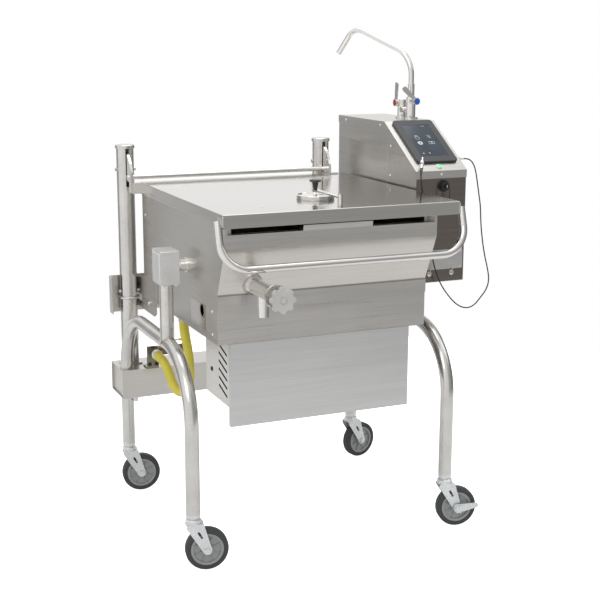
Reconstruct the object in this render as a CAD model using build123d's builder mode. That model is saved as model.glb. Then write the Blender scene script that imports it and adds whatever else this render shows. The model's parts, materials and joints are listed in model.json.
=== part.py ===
from build123d import *
import os
from math import atan2, cos, degrees, hypot, pi, radians, sin, tan

# Gas tilting braising pan on an open leg frame with casters. Millimetres, +Z up, front towards -Y.
# The origin is on the floor, at the bottom centre of the whole machine.

os.makedirs("parts", exist_ok=True)

# ---- Stand: two arched side frames joined by a beam at the rear ----------------------------------
stand_x = -68.75  # centre of the four legs
stand_y = 89.85
pan_width = 652.0
pan_left_gap = 64.5  # from the left leg's centre to the pan
pan_right_gap = 116.5  # from the pan to the right leg's centre
leg_spread_x = pan_left_gap + pan_width + pan_right_gap
leg_spread_y = 682.0
leg_tube_d = 41.3
leg_tube_wall = 2.0
leg_foot_z = 172.0
arch_top_z = 629.0
arch_bend_r = 200.0
weld_gap = 0.2  # radial room round a tube in the hole that it is welded into
beam_depth = 140.0
beam_height = 97.0
beam_top_z = 432.0
beam_overhang = 25.5  # beam beyond the leg centres
beam_setback = 34.0  # leg centre behind the beam's front face
sheet = 2.0
free_gap = 0.3  # between bodies that move past each other

left_leg_x = stand_x - leg_spread_x / 2
right_leg_x = stand_x + leg_spread_x / 2
front_leg_y = stand_y - leg_spread_y / 2
rear_leg_y = stand_y + leg_spread_y / 2
beam_front_y = rear_leg_y - beam_setback
beam_left_x = left_leg_x - beam_overhang
beam_length = leg_spread_x + 2 * beam_overhang
beam_mid_y = beam_front_y + beam_depth / 2
beam_mid_z = beam_top_z - beam_height / 2

# ---- Casters -------------------------------------------------------------------------------------
wheel_d = 127.0
tread_width = 32.0
tyre_depth = 15.0
hub_barrel_d = 32.0
trail = 38.0
cheek_gap = 38.0
cheek_thickness = 3.0
axle_d = 10.0
kingpin_d = 12.0
running_gap = 0.05  # radial, shaft in a bore
crown_top_z = 145.5
crown_thickness = 4.0
race_d = 46.0
race_top_z = 158.0
socket_length = 40.0
kingpin_nut_height = 8.0
brake_axle_reach = 19.0  # axle beyond the fork, through the brake lever

# ---- Tilt axis and trunnions ---------------------------------------------------------------------
tilt_y = stand_y - 125.0
tilt_z = 861.0
trunnion_d = 30.0
trunnion_boss_d = 38.0
trunnion_plate_d = 46.0
trunnion_plate_thickness = 5.0
bearing_d = 44.0
box_width = 56.0
box_depth = 85.0
box_height = 100.0
box_wall = 5.0
box_cover_thickness = 4.0
box_dome_height = 3.0

# ---- Pan -----------------------------------------------------------------------------------------
pan_left_x = left_leg_x + pan_left_gap
pan_rear_y = stand_y + 330.0
pan_lip_y = stand_y - 453.0
pan_fold_y = stand_y - 390.0
pan_top_z = 1024.0
pan_front_drop = 27.0  # front sheet below the rim
lip_bottom_z = 957.0
fold_z = 818.0
band_bottom_z = 779.0
band_depth = 4.0
skirt_bottom_z = 678.0
liner_inset = 25.0
liner_wall = 3.0
liner_bottom_z = 765.0
liner_corner_r = 38.0
spout_left_x = pan_left_x + 229.0
spout_width = 213.0
spout_notch_depth = 18.0
spout_reach = 6.0
plate_thickness = 16.0
burner_d = 26.0
burner_count = 4
burner_z = 716.0
burner_rail = 12.0
side_hole_d = 34.0  # round inspection hole in the left side
side_hole_y = stand_y - 259.0
side_hole_z = 752.0

pan_right_x = pan_left_x + pan_width
pan_front_top_z = pan_top_z - pan_front_drop
spout_right_x = spout_left_x + spout_width
spout_notch_z = pan_top_z - spout_notch_depth
pan_mid_x = pan_left_x + pan_width / 2
liner_left_x = pan_left_x + liner_inset
liner_width = pan_width - 2 * liner_inset
liner_rear_y = pan_rear_y - liner_inset
liner_lip_y = pan_lip_y + liner_inset
liner_fold_y = pan_fold_y + liner_inset

# ---- Burner box under the front of the pan -------------------------------------------------------
burner_box_left_x = pan_left_x + 47.0
burner_box_width = 542.0
burner_box_depth = 240.0
burner_box_bottom_z = 480.0
front_panel_bottom_z = 436.0
front_panel_lap = 11.0
louvre_count = 6
louvre_pitch = 24.5
louvre_length = 74.0
louvre_width = 7.0
louvre_drop = 22.0  # fall of each slot along its length
louvre_top_rise = 159.0  # top slot above the box's floor

burner_box_rear_y = pan_fold_y + burner_box_depth
burner_box_mid_x = burner_box_left_x + burner_box_width / 2
burner_box_mid_y = pan_fold_y + burner_box_depth / 2

# ---- Draw-off valve ------------------------------------------------------------------------------
valve_x = pan_left_x + 100.0
valve_z = 846.0
valve_d = 46.0
valve_bore_d = 36.0
valve_ring_d = 54.0
valve_length = 168.0  # from the outer wall to the bonnet
outlet_d = 31.0
outlet_setout = 80.0
outlet_bottom_z = 772.0
outlet_spigot = 28.0  # length that a drain hose slides over
outlet_collar_d = 34.0
bonnet_d = 66.0
bonnet_thickness = 11.0
valve_stem_d = 12.0
handwheel_setout = 223.0
handwheel_d = 72.0
handwheel_thickness = 14.0
handwheel_lobes = 8
plunger_length = 16.0
plunger_travel = 28.0  # three turns of the handwheel
plunger_rest = 6.0  # from the vessel's wall to the closed plunger

# ---- Lid, its posts and arms ---------------------------------------------------------------------
lid_left_lap = 7.0  # lid beyond the pan's left side
lid_right_lap = 70.0
lid_width = lid_left_lap + pan_width + lid_right_lap
lid_left_x = pan_left_x - lid_left_lap
lid_front_y = stand_y - 462.0
lid_rear_y = stand_y + 338.0
lid_rise = 30.0  # lid's top above the pan's rim
lid_top_z = pan_top_z + lid_rise
lid_flange = 38.0
lid_sheet = 2.0
lid_rear_flange = 24.0  # shorter than the others, to clear the pan as the lid turns
handle_d = 22.2
handle_bottom_z = lid_top_z - 148.0
handle_end_z = lid_top_z - 18.0
handle_end_y = lid_front_y + 14.0
handle_front_y = lid_front_y - 24.0
handle_bend_r = 78.0
hinge_y = stand_y + 395.0
hinge_z = lid_top_z + 36.0
post_d = 57.15
post_wall = 2.0
post_top_z = hinge_z + 70.0
post_foot_z = beam_top_z + free_gap
left_post_x = left_leg_x + 28.5
right_post_x = pan_right_x + 13.0
post_cap_d = 64.0
post_cap_height = 11.0
post_foot_depth = 44.0
post_slot_width = 12.0
post_slot_bottom_z = hinge_z - 56.0
post_slot_top_z = hinge_z + 68.4
arm_thickness = 8.0
hinge_pin_d = 12.0
bar_d = 16.0
bar_setout = 45.0  # bar in front of the hinge axis
bar_drop = 22.5
channel_height = 125.0
channel_bottom_z = 608.0
channel_left_x = left_leg_x - 29.5
channel_overhang = 51.0  # channel beyond the right post's centre
channel_flange = 34.0
ubolt_d = 8.0
ubolt_z = channel_bottom_z + 0.44 * channel_height
spring_pin_d = 10.0
spring_pin_z = channel_bottom_z + 75.0
spring_length = 330.0

channel_width = right_post_x + channel_overhang - channel_left_x
hinge_bar_y = hinge_y - bar_setout
hinge_bar_z = hinge_z - bar_drop
channel_y = hinge_y + post_d / 2

# ---- Vent in the lid -----------------------------------------------------------------------------
vent_x = stand_x + 5.0
vent_y = stand_y - 250.0
vent_d = 112.0
vent_hole_d = 80.0
vent_collar_height = 2.0
vent_cover_height = 10.0
vent_post_x = stand_x + 3.0
vent_post_y = stand_y - 425.0
vent_post_d = 6.0
vent_post_height = 37.0
vent_sleeve_d = 14.0
vent_arm_rise = 21.0  # underside of the arm above the cover's underside
vent_arm_thickness = 4.0
vent_knob_d = 34.0

# ---- Control console on the right ----------------------------------------------------------------
console_left_x = right_leg_x - 31.5
console_width = 182.0
console_front_y = stand_y - 168.0
console_rear_y = stand_y + 400.0
console_bottom_z = 751.0
console_brow_z = 1107.0
console_top_z = 1247.0
slope_rear_y = stand_y + 54.0
cap_flange = 24.0
cap_sheet = 1.5
screen_frame_width = 145.0
screen_frame_length = 218.0
screen_frame_height = 8.0
screen_shift_x = 3.5
screen_start = 38.0  # along the slope from its front edge
glass_width = 98.0
glass_length = 165.0
button_along = 20.0
button_d = 17.0
button_travel = 2.5
socket_x = console_left_x + 98.0
socket_z = 1059.0
socket_d = 36.0
drive_plate_x = console_left_x + 18.0
drive_plate_thickness = 8.0
drive_plate_depth = 140.0
drive_inset = 5.0  # from the console's front to the drive
reducer_width = 62.0
reducer_size = 128.0
motor_d = 74.0
motor_length = 150.0

console_mid_x = console_left_x + console_width / 2
console_right_x = console_left_x + console_width
slope_angle = atan2(console_top_z - console_brow_z, slope_rear_y - console_front_y)
slope_length = hypot(console_top_z - console_brow_z, slope_rear_y - console_front_y)

# ---- Faucet on the console -----------------------------------------------------------------------
faucet_x = console_left_x + 143.0
faucet_y = stand_y + 140.0
faucet_body_d = 32.0
faucet_body_height = 72.0
riser_nut_height = 43.0
spout_d = 18.0
spout_reach_xy = (-0.463, 0.886)
side_valve_x = faucet_x - 14.0
side_valve_y = faucet_y + 38.0
side_valve_d = 28.0
side_valve_height = 62.0
tap_stem_d = 12.0
tap_hub_d = 24.0
tap_lever_length = 60.0
tap_stem_z = console_top_z + 60.0

# ---- Gas supply ----------------------------------------------------------------------------------
coupling_x = left_leg_x + 82.5
coupling_z = beam_top_z + 55.0
bracket_width = 40.0
bracket_height = 77.0
bracket_thickness = 4.0
gas_pipe_d = 27.0
coupling_d = 34.0
coupling_length = 26.0
cock_length = 116.0
hose_d = 30.0
gas_inlet_x = pan_left_x + 63.0
gas_inlet_y = stand_y + 112.0
gas_inlet_d = 24.0
inlet_nut_height = 26.0
manifold_d = 22.0

# ---- Probe on its cord ---------------------------------------------------------------------------
cord_d = 4.0

# Planes that several pieces share
tilt_plane = Plane(origin=(0, tilt_y, 0), x_dir=(1, 0, 0), z_dir=(0, -1, 0))
tilt_axis = Axis((0, tilt_y, tilt_z), (1, 0, 0))
slope_plane = Plane(
    origin=(console_mid_x, console_front_y, console_brow_z),
    x_dir=(1, 0, 0),
    z_dir=(0, -sin(slope_angle), cos(slope_angle)),
)
along_x = (0, 90, 0)
along_y = (90, 0, 0)


def bend_radii(points):
    """Radii of a hose's bends, each as large as its two runs allow."""
    vectors = [Vector(*point) for point in points]
    radii = []
    for before, corner, after in zip(vectors, vectors[1:], vectors[2:]):
        run_in, run_out = corner - before, after - corner
        turn = radians(run_in.get_angle(run_out))
        radii.append(0.45 * min(run_in.length, run_out.length) / tan(turn / 2))
    return radii


# ==== Side frames =================================================================================
def side_frame(leg_x):
    """A tube bent into an arch: up one leg, over and down the other, with open feet."""
    half = leg_spread_y / 2
    arch_plane = Plane(origin=(leg_x, stand_y, 0), x_dir=(0, 1, 0), z_dir=(1, 0, 0))
    with BuildPart() as arch:
        with BuildLine(arch_plane) as route:
            FilletPolyline(
                (-half, leg_foot_z),
                (-half, arch_top_z),
                (half, arch_top_z),
                (half, leg_foot_z),
                radius=arch_bend_r,
            )
        with BuildSketch(Plane.XY.move(Location((leg_x, front_leg_y, leg_foot_z)))):
            Circle(leg_tube_d / 2)
            Circle(leg_tube_d / 2 - leg_tube_wall, mode=Mode.SUBTRACT)
        sweep(path=route.line)
    return arch


left_side_frame = side_frame(left_leg_x)
left_side_frame.part.label = "left_side_frame"
export_step(left_side_frame.part, "parts/left_side_frame.step")

right_side_frame = side_frame(right_leg_x)
right_side_frame.part.label = "right_side_frame"
export_step(right_side_frame.part, "parts/right_side_frame.step")

# ==== Rear crossbeam: a formed box, open at both ends, that the rear legs pass through ============
with BuildPart() as rear_crossbeam:
    with BuildSketch(Plane.YZ.offset(beam_left_x)):
        with Locations((beam_mid_y, beam_mid_z)):
            Rectangle(beam_depth, beam_height)
            Rectangle(beam_depth - 2 * sheet, beam_height - 2 * sheet, mode=Mode.SUBTRACT)
    extrude(amount=beam_length)
    with Locations((left_leg_x, rear_leg_y, beam_mid_z), (right_leg_x, rear_leg_y, beam_mid_z)):
        Cylinder(leg_tube_d / 2 + weld_gap, beam_height + 2 * sheet, mode=Mode.SUBTRACT)
rear_crossbeam.part.label = "rear_crossbeam"
export_step(rear_crossbeam.part, "parts/rear_crossbeam.step")


# ==== Uprights: tubes notched over the arches, up to the trunnion box and to the console ==========
box_bottom_z = tilt_z - box_height / 2
box_right_x = left_leg_x + box_width / 2
box_left_x = box_right_x - box_width + box_cover_thickness

with BuildPart() as stand_uprights:
    for leg_x, top_z in ((left_leg_x, box_bottom_z), (right_leg_x, console_bottom_z)):
        with BuildSketch(Plane.XY.move(Location((leg_x, tilt_y, arch_top_z)))):
            Circle(leg_tube_d / 2)
            Circle(leg_tube_d / 2 - leg_tube_wall, mode=Mode.SUBTRACT)
        extrude(amount=top_z - arch_top_z)
        with Locations(Location((leg_x, tilt_y, arch_top_z), along_y)):
            Cylinder(leg_tube_d / 2 + weld_gap, 2 * leg_tube_d, mode=Mode.SUBTRACT)
stand_uprights.part.label = "stand_uprights"
export_step(stand_uprights.part, "parts/stand_uprights.step")

# ==== Trunnion box, its domed cover and the two trunnion bearings =================================
box_body_width = box_right_x - box_left_x
with BuildPart() as trunnion_box:
    with BuildSketch(Plane.YZ.offset(box_left_x)):
        with Locations((tilt_y, tilt_z)):
            RectangleRounded(box_depth, box_height, 4)
    extrude(amount=box_body_width)
    with BuildSketch(Plane.YZ.offset(box_left_x)):
        with Locations((tilt_y, tilt_z)):
            Rectangle(box_depth - 2 * box_wall, box_height - 2 * box_wall)
    extrude(amount=box_body_width - 2 * box_wall, mode=Mode.SUBTRACT)
    with Locations(Location((box_right_x, tilt_y, tilt_z), along_x)):
        Cylinder(bearing_d / 2, 6 * box_wall, mode=Mode.SUBTRACT)
trunnion_box.part.label = "trunnion_box"
export_step(trunnion_box.part, "parts/trunnion_box.step")

with BuildPart() as trunnion_cover:
    with BuildSketch(Plane.YZ.offset(box_left_x - box_cover_thickness)):
        with Locations((tilt_y, tilt_z)):
            RectangleRounded(box_depth, box_height, 4)
    extrude(amount=box_cover_thickness)
    with BuildSketch(Plane.YZ.offset(box_left_x - box_cover_thickness)):
        with Locations((tilt_y, tilt_z)):
            RectangleRounded(box_depth - 14, box_height - 14, 14)
    extrude(amount=-box_dome_height, taper=45)
trunnion_cover.part.label = "trunnion_cover"
export_step(trunnion_cover.part, "parts/trunnion_cover.step")

with BuildPart() as trunnion_bearings:
    for bearing_x, bearing_width in (
        (box_right_x - box_wall, 2 * box_wall),
        (drive_plate_x + drive_plate_thickness / 2, drive_plate_thickness),
    ):
        with Locations(Location((bearing_x, tilt_y, tilt_z), along_x)):
            Cylinder(bearing_d / 2, bearing_width)
            Cylinder(trunnion_d / 2 + running_gap, bearing_width, mode=Mode.SUBTRACT)
trunnion_bearings.part.label = "trunnion_bearings"
export_step(trunnion_bearings.part, "parts/trunnion_bearings.step")

# ==== Casters =====================================================================================
caster_corners = {
    "front_left": (left_leg_x, front_leg_y, -11.0, 7.0),
    "front_right": (right_leg_x, front_leg_y, -13.0, brake_axle_reach),
    "rear_left": (left_leg_x, rear_leg_y, -8.0, 7.0),
    "rear_right": (right_leg_x, rear_leg_y, 13.0, 7.0),
}
axle_z = wheel_d / 2
cheek_top_z = crown_top_z - crown_thickness
fork_half_width = cheek_gap / 2 + cheek_thickness
socket_d = leg_tube_d - 2 * leg_tube_wall - 2 * weld_gap

# Stems: an expanding socket in each leg, a collar, the upper race and the kingpin with its nut
with BuildPart() as caster_stems:
    stem_profile = [
        (0, cheek_top_z - free_gap - kingpin_nut_height),
        (kingpin_d * 0.8, cheek_top_z - free_gap - kingpin_nut_height),
        (kingpin_d * 0.8, cheek_top_z - free_gap),
        (kingpin_d / 2, cheek_top_z - free_gap),
        (kingpin_d / 2, crown_top_z + free_gap),
        (race_d / 2, crown_top_z + free_gap),
        (race_d / 2, race_top_z - 3),
        (race_d / 2 - 4, race_top_z),
        (leg_tube_d / 2 - 5, race_top_z),
        (leg_tube_d / 2 - 5, race_top_z + 5),
        (leg_tube_d / 2, race_top_z + 5),
        (leg_tube_d / 2, leg_foot_z),
        (socket_d / 2, leg_foot_z),
        (socket_d / 2, leg_foot_z + socket_length),
        (0, leg_foot_z + socket_length),
    ]
    with BuildSketch(Plane.XZ):
        Polygon(*stem_profile, align=None)
    stem = revolve(axis=Axis.Z, mode=Mode.PRIVATE)
    for corner_x, corner_y, _, _ in caster_corners.values():
        with Locations((corner_x, corner_y, 0)):
            add(stem)
caster_stems.part.label = "caster_stems"
export_step(caster_stems.part, "parts/caster_stems.step")


def caster_plane(corner_x, corner_y, angle):
    """The wheel's own plane, with its x along the trail."""
    c, s = cos(radians(angle)), sin(radians(angle))
    return Plane(origin=(corner_x, corner_y, 0), x_dir=(c, s, 0), z_dir=(s, -c, 0))


def caster_fork(wheel_plane, axle_reach):
    """Two cheeks under a crown plate with a turned race, and the axle bolt across them."""
    crown_turn = degrees(atan2(wheel_plane.x_dir.Y, wheel_plane.x_dir.X))
    with BuildPart() as fork:
        for side in (-1, 1):
            with BuildSketch(wheel_plane.offset(side * (cheek_gap + cheek_thickness) / 2)):
                with Locations((trail, axle_z)):
                    Circle(13)
                with Locations((-16, cheek_top_z - 6)):
                    Circle(6)
                with Locations((22, cheek_top_z - 4)):
                    Circle(8)
                make_hull()
                with Locations((trail * 0.45, axle_z + 0.62 * (cheek_top_z - axle_z))):
                    SlotOverall(24, 7, rotation=-60, mode=Mode.SUBTRACT)
            extrude(amount=cheek_thickness / 2, both=True)
        with BuildSketch(Plane.XY.move(Location(wheel_plane.origin + Vector(0, 0, cheek_top_z)))) as crown:
            Circle(race_d / 2)
            with Locations(wheel_plane.x_dir * 4):
                Rectangle(44, 2 * fork_half_width, rotation=crown_turn)
        extrude(amount=crown_thickness)
        with Locations(Location(wheel_plane.origin + Vector(0, 0, crown_top_z))):
            Cylinder(kingpin_d / 2 + running_gap, 4 * crown_thickness, mode=Mode.SUBTRACT)
        with BuildSketch(wheel_plane.offset(-fork_half_width - 7)):
            with Locations((trail, axle_z)):
                Circle(axle_d / 2)
        extrude(amount=2 * fork_half_width + 7 + axle_reach)
        with BuildSketch(wheel_plane.offset(fork_half_width)):
            with Locations((trail, axle_z)):
                RegularPolygon(9, 6)
        extrude(amount=6)
        with BuildSketch(wheel_plane.offset(-fork_half_width - 6)):
            with Locations((trail, axle_z)):
                RegularPolygon(9, 6)
        extrude(amount=6)
    return fork


def caster_hub(wheel_plane):
    """A barrel on the axle, a thin web and a rim under the tread."""
    rim_r = wheel_d / 2 - tyre_depth
    half_barrel = cheek_gap / 2 - free_gap
    half_tread = tread_width / 2
    with BuildPart() as hub:
        with BuildSketch(wheel_plane):
            with Locations((trail, axle_z)):
                Circle(rim_r)
        extrude(amount=half_tread - 2, both=True)
        for side in (-1, 1):
            with BuildSketch(wheel_plane.offset(side * half_tread)):
                with Locations((trail, axle_z)):
                    Circle(rim_r - 7)
            extrude(amount=-side * 9, mode=Mode.SUBTRACT)
        with BuildSketch(wheel_plane):
            with Locations((trail, axle_z)):
                Circle(hub_barrel_d / 2)
        extrude(amount=half_barrel, both=True)
        with BuildSketch(wheel_plane):
            with Locations((trail, axle_z)):
                Circle(axle_d / 2 + running_gap)
        extrude(amount=half_barrel, both=True, mode=Mode.SUBTRACT)
    return hub


def caster_tyre(wheel_plane):
    """A round-shouldered tread moulded on the hub's rim."""
    with BuildPart() as tyre:
        with BuildSketch(wheel_plane):
            with Locations((trail, axle_z)):
                Circle(wheel_d / 2)
                Circle(wheel_d / 2 - tyre_depth, mode=Mode.SUBTRACT)
        extrude(amount=tread_width / 2, both=True)
        fillet(tyre.edges().filter_by(GeomType.CIRCLE).sort_by(SortBy.RADIUS)[-2:], 8)
    return tyre


for corner, (corner_x, corner_y, angle, axle_reach) in caster_corners.items():
    corner_plane = caster_plane(corner_x, corner_y, angle)
    for caster_piece, piece in (
        (f"caster_fork_{corner}", caster_fork(corner_plane, axle_reach)),
        (f"caster_hub_{corner}", caster_hub(corner_plane)),
        (f"caster_tyre_{corner}", caster_tyre(corner_plane)),
    ):
        piece.part.label = caster_piece
        export_step(piece.part, f"parts/{caster_piece}.step")

# Brake lever on the front right axle
brake_corner = caster_plane(*caster_corners["front_right"][:3])
brake_plane = brake_corner.offset(fork_half_width + 6 + free_gap)
with BuildPart() as caster_brake:
    with BuildSketch(brake_plane):
        with Locations((trail, axle_z)):
            Circle(14)
        with Locations((trail + 58, axle_z + 8)):
            Circle(8)
        make_hull()
    extrude(amount=3)
    with BuildSketch(brake_plane.offset(3)):
        with Locations((trail, axle_z)):
            Circle(9)
            with PolarLocations(9, 6):
                Circle(4)
    extrude(amount=9)
    with BuildSketch(brake_plane):
        with Locations((trail, axle_z)):
            Circle(axle_d / 2 + running_gap)
    extrude(amount=12, mode=Mode.SUBTRACT)
caster_brake.part.label = "caster_brake"
export_step(caster_brake.part, "parts/caster_brake.step")

# ==== Pan: liner, heating plate, outer jacket =====================================================
jacket_profile = [
    (pan_rear_y, skirt_bottom_z),
    (pan_rear_y, pan_top_z),
    (pan_lip_y, pan_top_z),
    (pan_lip_y, lip_bottom_z),
    (pan_fold_y, fold_z),
    (pan_fold_y - band_depth, fold_z - 1),
    (pan_fold_y - band_depth, band_bottom_z),
    (pan_fold_y, band_bottom_z),
    (pan_fold_y, skirt_bottom_z),
]
hollow_profile = [
    (pan_rear_y - sheet, skirt_bottom_z + sheet),
    (pan_rear_y - sheet, pan_top_z),
    (pan_lip_y + sheet, pan_top_z),
    (pan_lip_y + sheet, lip_bottom_z),
    (pan_fold_y + sheet, fold_z),
    (pan_fold_y + sheet, skirt_bottom_z + sheet),
]
with BuildPart() as pan_jacket:
    with BuildSketch(Plane.YZ.offset(pan_left_x)):
        Polygon(*jacket_profile, align=None)
    extrude(amount=pan_width)
    with BuildSketch(Plane.YZ.offset(pan_left_x + sheet)):
        Polygon(*hollow_profile, align=None)
    extrude(amount=pan_width - 2 * sheet, mode=Mode.SUBTRACT)
    # the front sheet stops below the lid
    front_opening = Location((pan_mid_x, pan_lip_y, pan_top_z))
    with Locations(front_opening):
        Box(pan_width - 16, 6 * sheet, 2 * (pan_top_z - pan_front_top_z), mode=Mode.SUBTRACT)
    # the draw-off passes through the sloping front
    with Locations(Location((valve_x, pan_fold_y, valve_z), along_y)):
        Cylinder(valve_d / 2 + 1, 80, mode=Mode.SUBTRACT)
    # floor openings: over the burner box, and for the gas inlet
    with Locations((burner_box_mid_x, burner_box_mid_y, skirt_bottom_z)):
        Box(burner_box_width - 20, burner_box_depth - 20, 6 * sheet, mode=Mode.SUBTRACT)
    with Locations((gas_inlet_x, gas_inlet_y, skirt_bottom_z)):
        Cylinder(gas_inlet_d / 2 + free_gap, 6 * sheet, mode=Mode.SUBTRACT)
    # round inspection hole in the left side
    with Locations(Location((pan_left_x, side_hole_y, side_hole_z), along_x)):
        Cylinder(side_hole_d / 2, 10 * sheet, mode=Mode.SUBTRACT)
pan_jacket.part.label = "pan_jacket"
export_step(pan_jacket.part, "parts/pan_jacket.step")


def liner_block(inset, bottom_z, corner_r):
    """Outline of the cooking vessel, drawn in by an inset, with rounded corners."""
    slope_shift = inset * 1.1  # the sloping front moves in by a little more than the upright walls
    profile = [
        (liner_rear_y - inset, bottom_z),
        (liner_rear_y - inset, pan_top_z),
        (liner_lip_y + inset, pan_top_z),
        (liner_lip_y + inset, lip_bottom_z),
        (liner_fold_y + slope_shift, fold_z),
        (liner_fold_y + slope_shift, bottom_z),
    ]
    with BuildPart() as block:
        with BuildSketch(Plane.YZ.offset(liner_left_x + inset)):
            Polygon(*profile, align=None)
        extrude(amount=liner_width - 2 * inset)
        fillet(block.faces().sort_by(Axis.Y)[-1].edges().filter_by(Axis.Z), corner_r)
        fillet(block.faces().sort_by(Axis.Z)[0].edges(), corner_r * 0.7)
    return block.part


vessel_outside = liner_block(0, liner_bottom_z - liner_wall, liner_corner_r)
vessel_inside = liner_block(liner_wall, liner_bottom_z, liner_corner_r - liner_wall)
with BuildPart() as pan_liner:
    add(vessel_outside)
    # rim strip out to the jacket on both sides and at the rear
    rim_front_y = liner_lip_y + 2 * liner_wall
    with BuildSketch(Plane.XY.offset(pan_top_z - liner_wall)):
        with Locations((pan_mid_x, (rim_front_y + pan_rear_y - sheet) / 2)):
            Rectangle(pan_width - 2 * sheet, pan_rear_y - sheet - rim_front_y)
    extrude(amount=liner_wall)
    # pouring lip: a short trough from the vessel's front wall over the jacket
    with BuildSketch(Plane.YZ.offset(spout_left_x)):
        Polygon(
            (liner_lip_y + liner_wall, pan_front_top_z + free_gap),
            (pan_lip_y - spout_reach + 2, pan_front_top_z + 0.5),
            (pan_lip_y - spout_reach, pan_front_top_z + 16),
            (pan_lip_y - spout_reach + 4, pan_front_top_z + 16),
            (liner_lip_y + liner_wall, pan_front_top_z + 20),
            align=None,
        )
    extrude(amount=spout_right_x - spout_left_x)
    with BuildSketch(Plane.YZ.offset(spout_left_x + liner_wall)):
        Polygon(
            (liner_lip_y - 2, pan_top_z),
            (liner_lip_y - 2, spout_notch_z - 4),
            (pan_lip_y - spout_reach + 6, pan_front_top_z + 5),
            (pan_lip_y - spout_reach + 3, pan_front_top_z + 18),
            align=None,
        )
    extrude(amount=spout_right_x - spout_left_x - 2 * liner_wall, mode=Mode.SUBTRACT)
    add(vessel_inside, mode=Mode.SUBTRACT)
    with Locations(((spout_left_x + spout_right_x) / 2, liner_lip_y, pan_top_z)):
        Box(
            spout_right_x - spout_left_x - 2 * liner_wall,
            6 * liner_wall,
            2 * (pan_top_z - spout_notch_z),
            mode=Mode.SUBTRACT,
        )
    # beside the trough the front wall is only as high as the jacket, and a strip joins the two
    inner_left_x = liner_left_x + liner_wall
    inner_right_x = liner_left_x + liner_width - liner_wall
    for wall_start, wall_end in ((inner_left_x, spout_left_x), (spout_right_x, inner_right_x)):
        with Locations(((wall_start + wall_end) / 2, liner_lip_y, pan_front_top_z)):
            Box(
                wall_end - wall_start,
                4 * liner_wall,
                40,
                align=(Align.CENTER, Align.CENTER, Align.MIN),
                mode=Mode.SUBTRACT,
            )
    strip_front_y = pan_lip_y + sheet
    with Locations((pan_mid_x, strip_front_y, pan_front_top_z)):
        Box(
            pan_width - 2 * sheet,
            liner_lip_y + liner_wall - strip_front_y,
            liner_wall,
            align=(Align.CENTER, Align.MIN, Align.MAX),
        )
    for outer_x, side in ((pan_left_x + sheet, Align.MIN), (pan_right_x - sheet, Align.MAX)):
        with Locations((outer_x, liner_lip_y, pan_top_z)):
            Box(
                liner_inset + liner_wall - sheet,
                3 * liner_wall,
                pan_top_z - pan_front_top_z,
                align=(side, Align.MIN, Align.MAX),
            )
    # draw-off opening low in the sloping front wall
    with Locations(Location((valve_x, liner_fold_y, valve_z), along_y)):
        Cylinder(valve_bore_d / 2, 90, mode=Mode.SUBTRACT)
pan_liner.part.label = "pan_liner"
export_step(pan_liner.part, "parts/pan_liner.step")

plate_front_y = liner_fold_y + liner_corner_r
with BuildPart() as heating_plate:
    with BuildSketch(Plane.XY.offset(liner_bottom_z - liner_wall)):
        with Locations((pan_mid_x, (plate_front_y + liner_rear_y - liner_corner_r) / 2)):
            RectangleRounded(
                liner_width - 2 * liner_corner_r, liner_rear_y - liner_corner_r - plate_front_y, 10
            )
    extrude(amount=-plate_thickness)
heating_plate.part.label = "heating_plate"
export_step(heating_plate.part, "parts/heating_plate.step")

# Tube burners with their manifold, on two cross rails that span the jacket
rail_length = pan_width - 2 * sheet
rail_front_y = burner_box_rear_y + 30
rail_rear_y = pan_rear_y - 60
burner_pitch = liner_width / (burner_count + 1)
with BuildPart() as burners:
    for rail_y in (rail_front_y, rail_rear_y):
        with Locations((pan_mid_x, rail_y, burner_z - burner_d / 2 - burner_rail / 2 + 2)):
            Box(rail_length, burner_rail, burner_rail)
    with Locations(Location((pan_mid_x, (rail_front_y + rail_rear_y) / 2, burner_z))):
        with GridLocations(burner_pitch, 1, burner_count, 1):
            Cylinder(burner_d / 2, rail_rear_y - rail_front_y + 40, rotation=along_y)
    # manifold under the tubes, with the inlet nut below the jacket's floor
    manifold_z = burner_z - burner_d / 2 - manifold_d / 2 + 2
    manifold_end_x = pan_mid_x + burner_pitch * (burner_count - 1) / 2
    with Locations(Location((gas_inlet_x, gas_inlet_y, manifold_z), along_x)):
        Cylinder(manifold_d / 2, manifold_end_x - gas_inlet_x, align=(Align.CENTER, Align.CENTER, Align.MIN))
    with Locations((gas_inlet_x, gas_inlet_y, skirt_bottom_z)):
        Cylinder(gas_inlet_d / 2, manifold_z - skirt_bottom_z, align=(Align.CENTER, Align.CENTER, Align.MIN))
        Cylinder(hose_d / 2 + 3, inlet_nut_height, align=(Align.CENTER, Align.CENTER, Align.MAX))
burners.part.label = "burners"
export_step(burners.part, "parts/burners.step")

# ==== Burner box, with slanting louvres in its sides, and its front panel =========================
with BuildPart() as burner_box:
    with BuildSketch(Plane.XY.offset(burner_box_bottom_z)):
        with Locations((burner_box_mid_x, burner_box_mid_y)):
            Rectangle(burner_box_width, burner_box_depth)
    extrude(amount=skirt_bottom_z - burner_box_bottom_z)
    with BuildSketch(Plane.XY.offset(burner_box_bottom_z + sheet)):
        with Locations((burner_box_mid_x, burner_box_mid_y)):
            Rectangle(burner_box_width - 2 * sheet, burner_box_depth - 2 * sheet)
    extrude(amount=skirt_bottom_z - burner_box_bottom_z, mode=Mode.SUBTRACT)
    louvre_top_z = burner_box_bottom_z + louvre_top_rise
    with BuildSketch(Plane.YZ.offset(burner_box_left_x - sheet)):
        for row in range(louvre_count):
            with Locations((pan_fold_y + 92, louvre_top_z - row * louvre_pitch)):
                SlotOverall(louvre_length, louvre_width, rotation=degrees(atan2(louvre_drop, louvre_length)))
    extrude(amount=burner_box_width + 2 * sheet, mode=Mode.SUBTRACT)
burner_box.part.label = "burner_box"
export_step(burner_box.part, "parts/burner_box.step")

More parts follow.
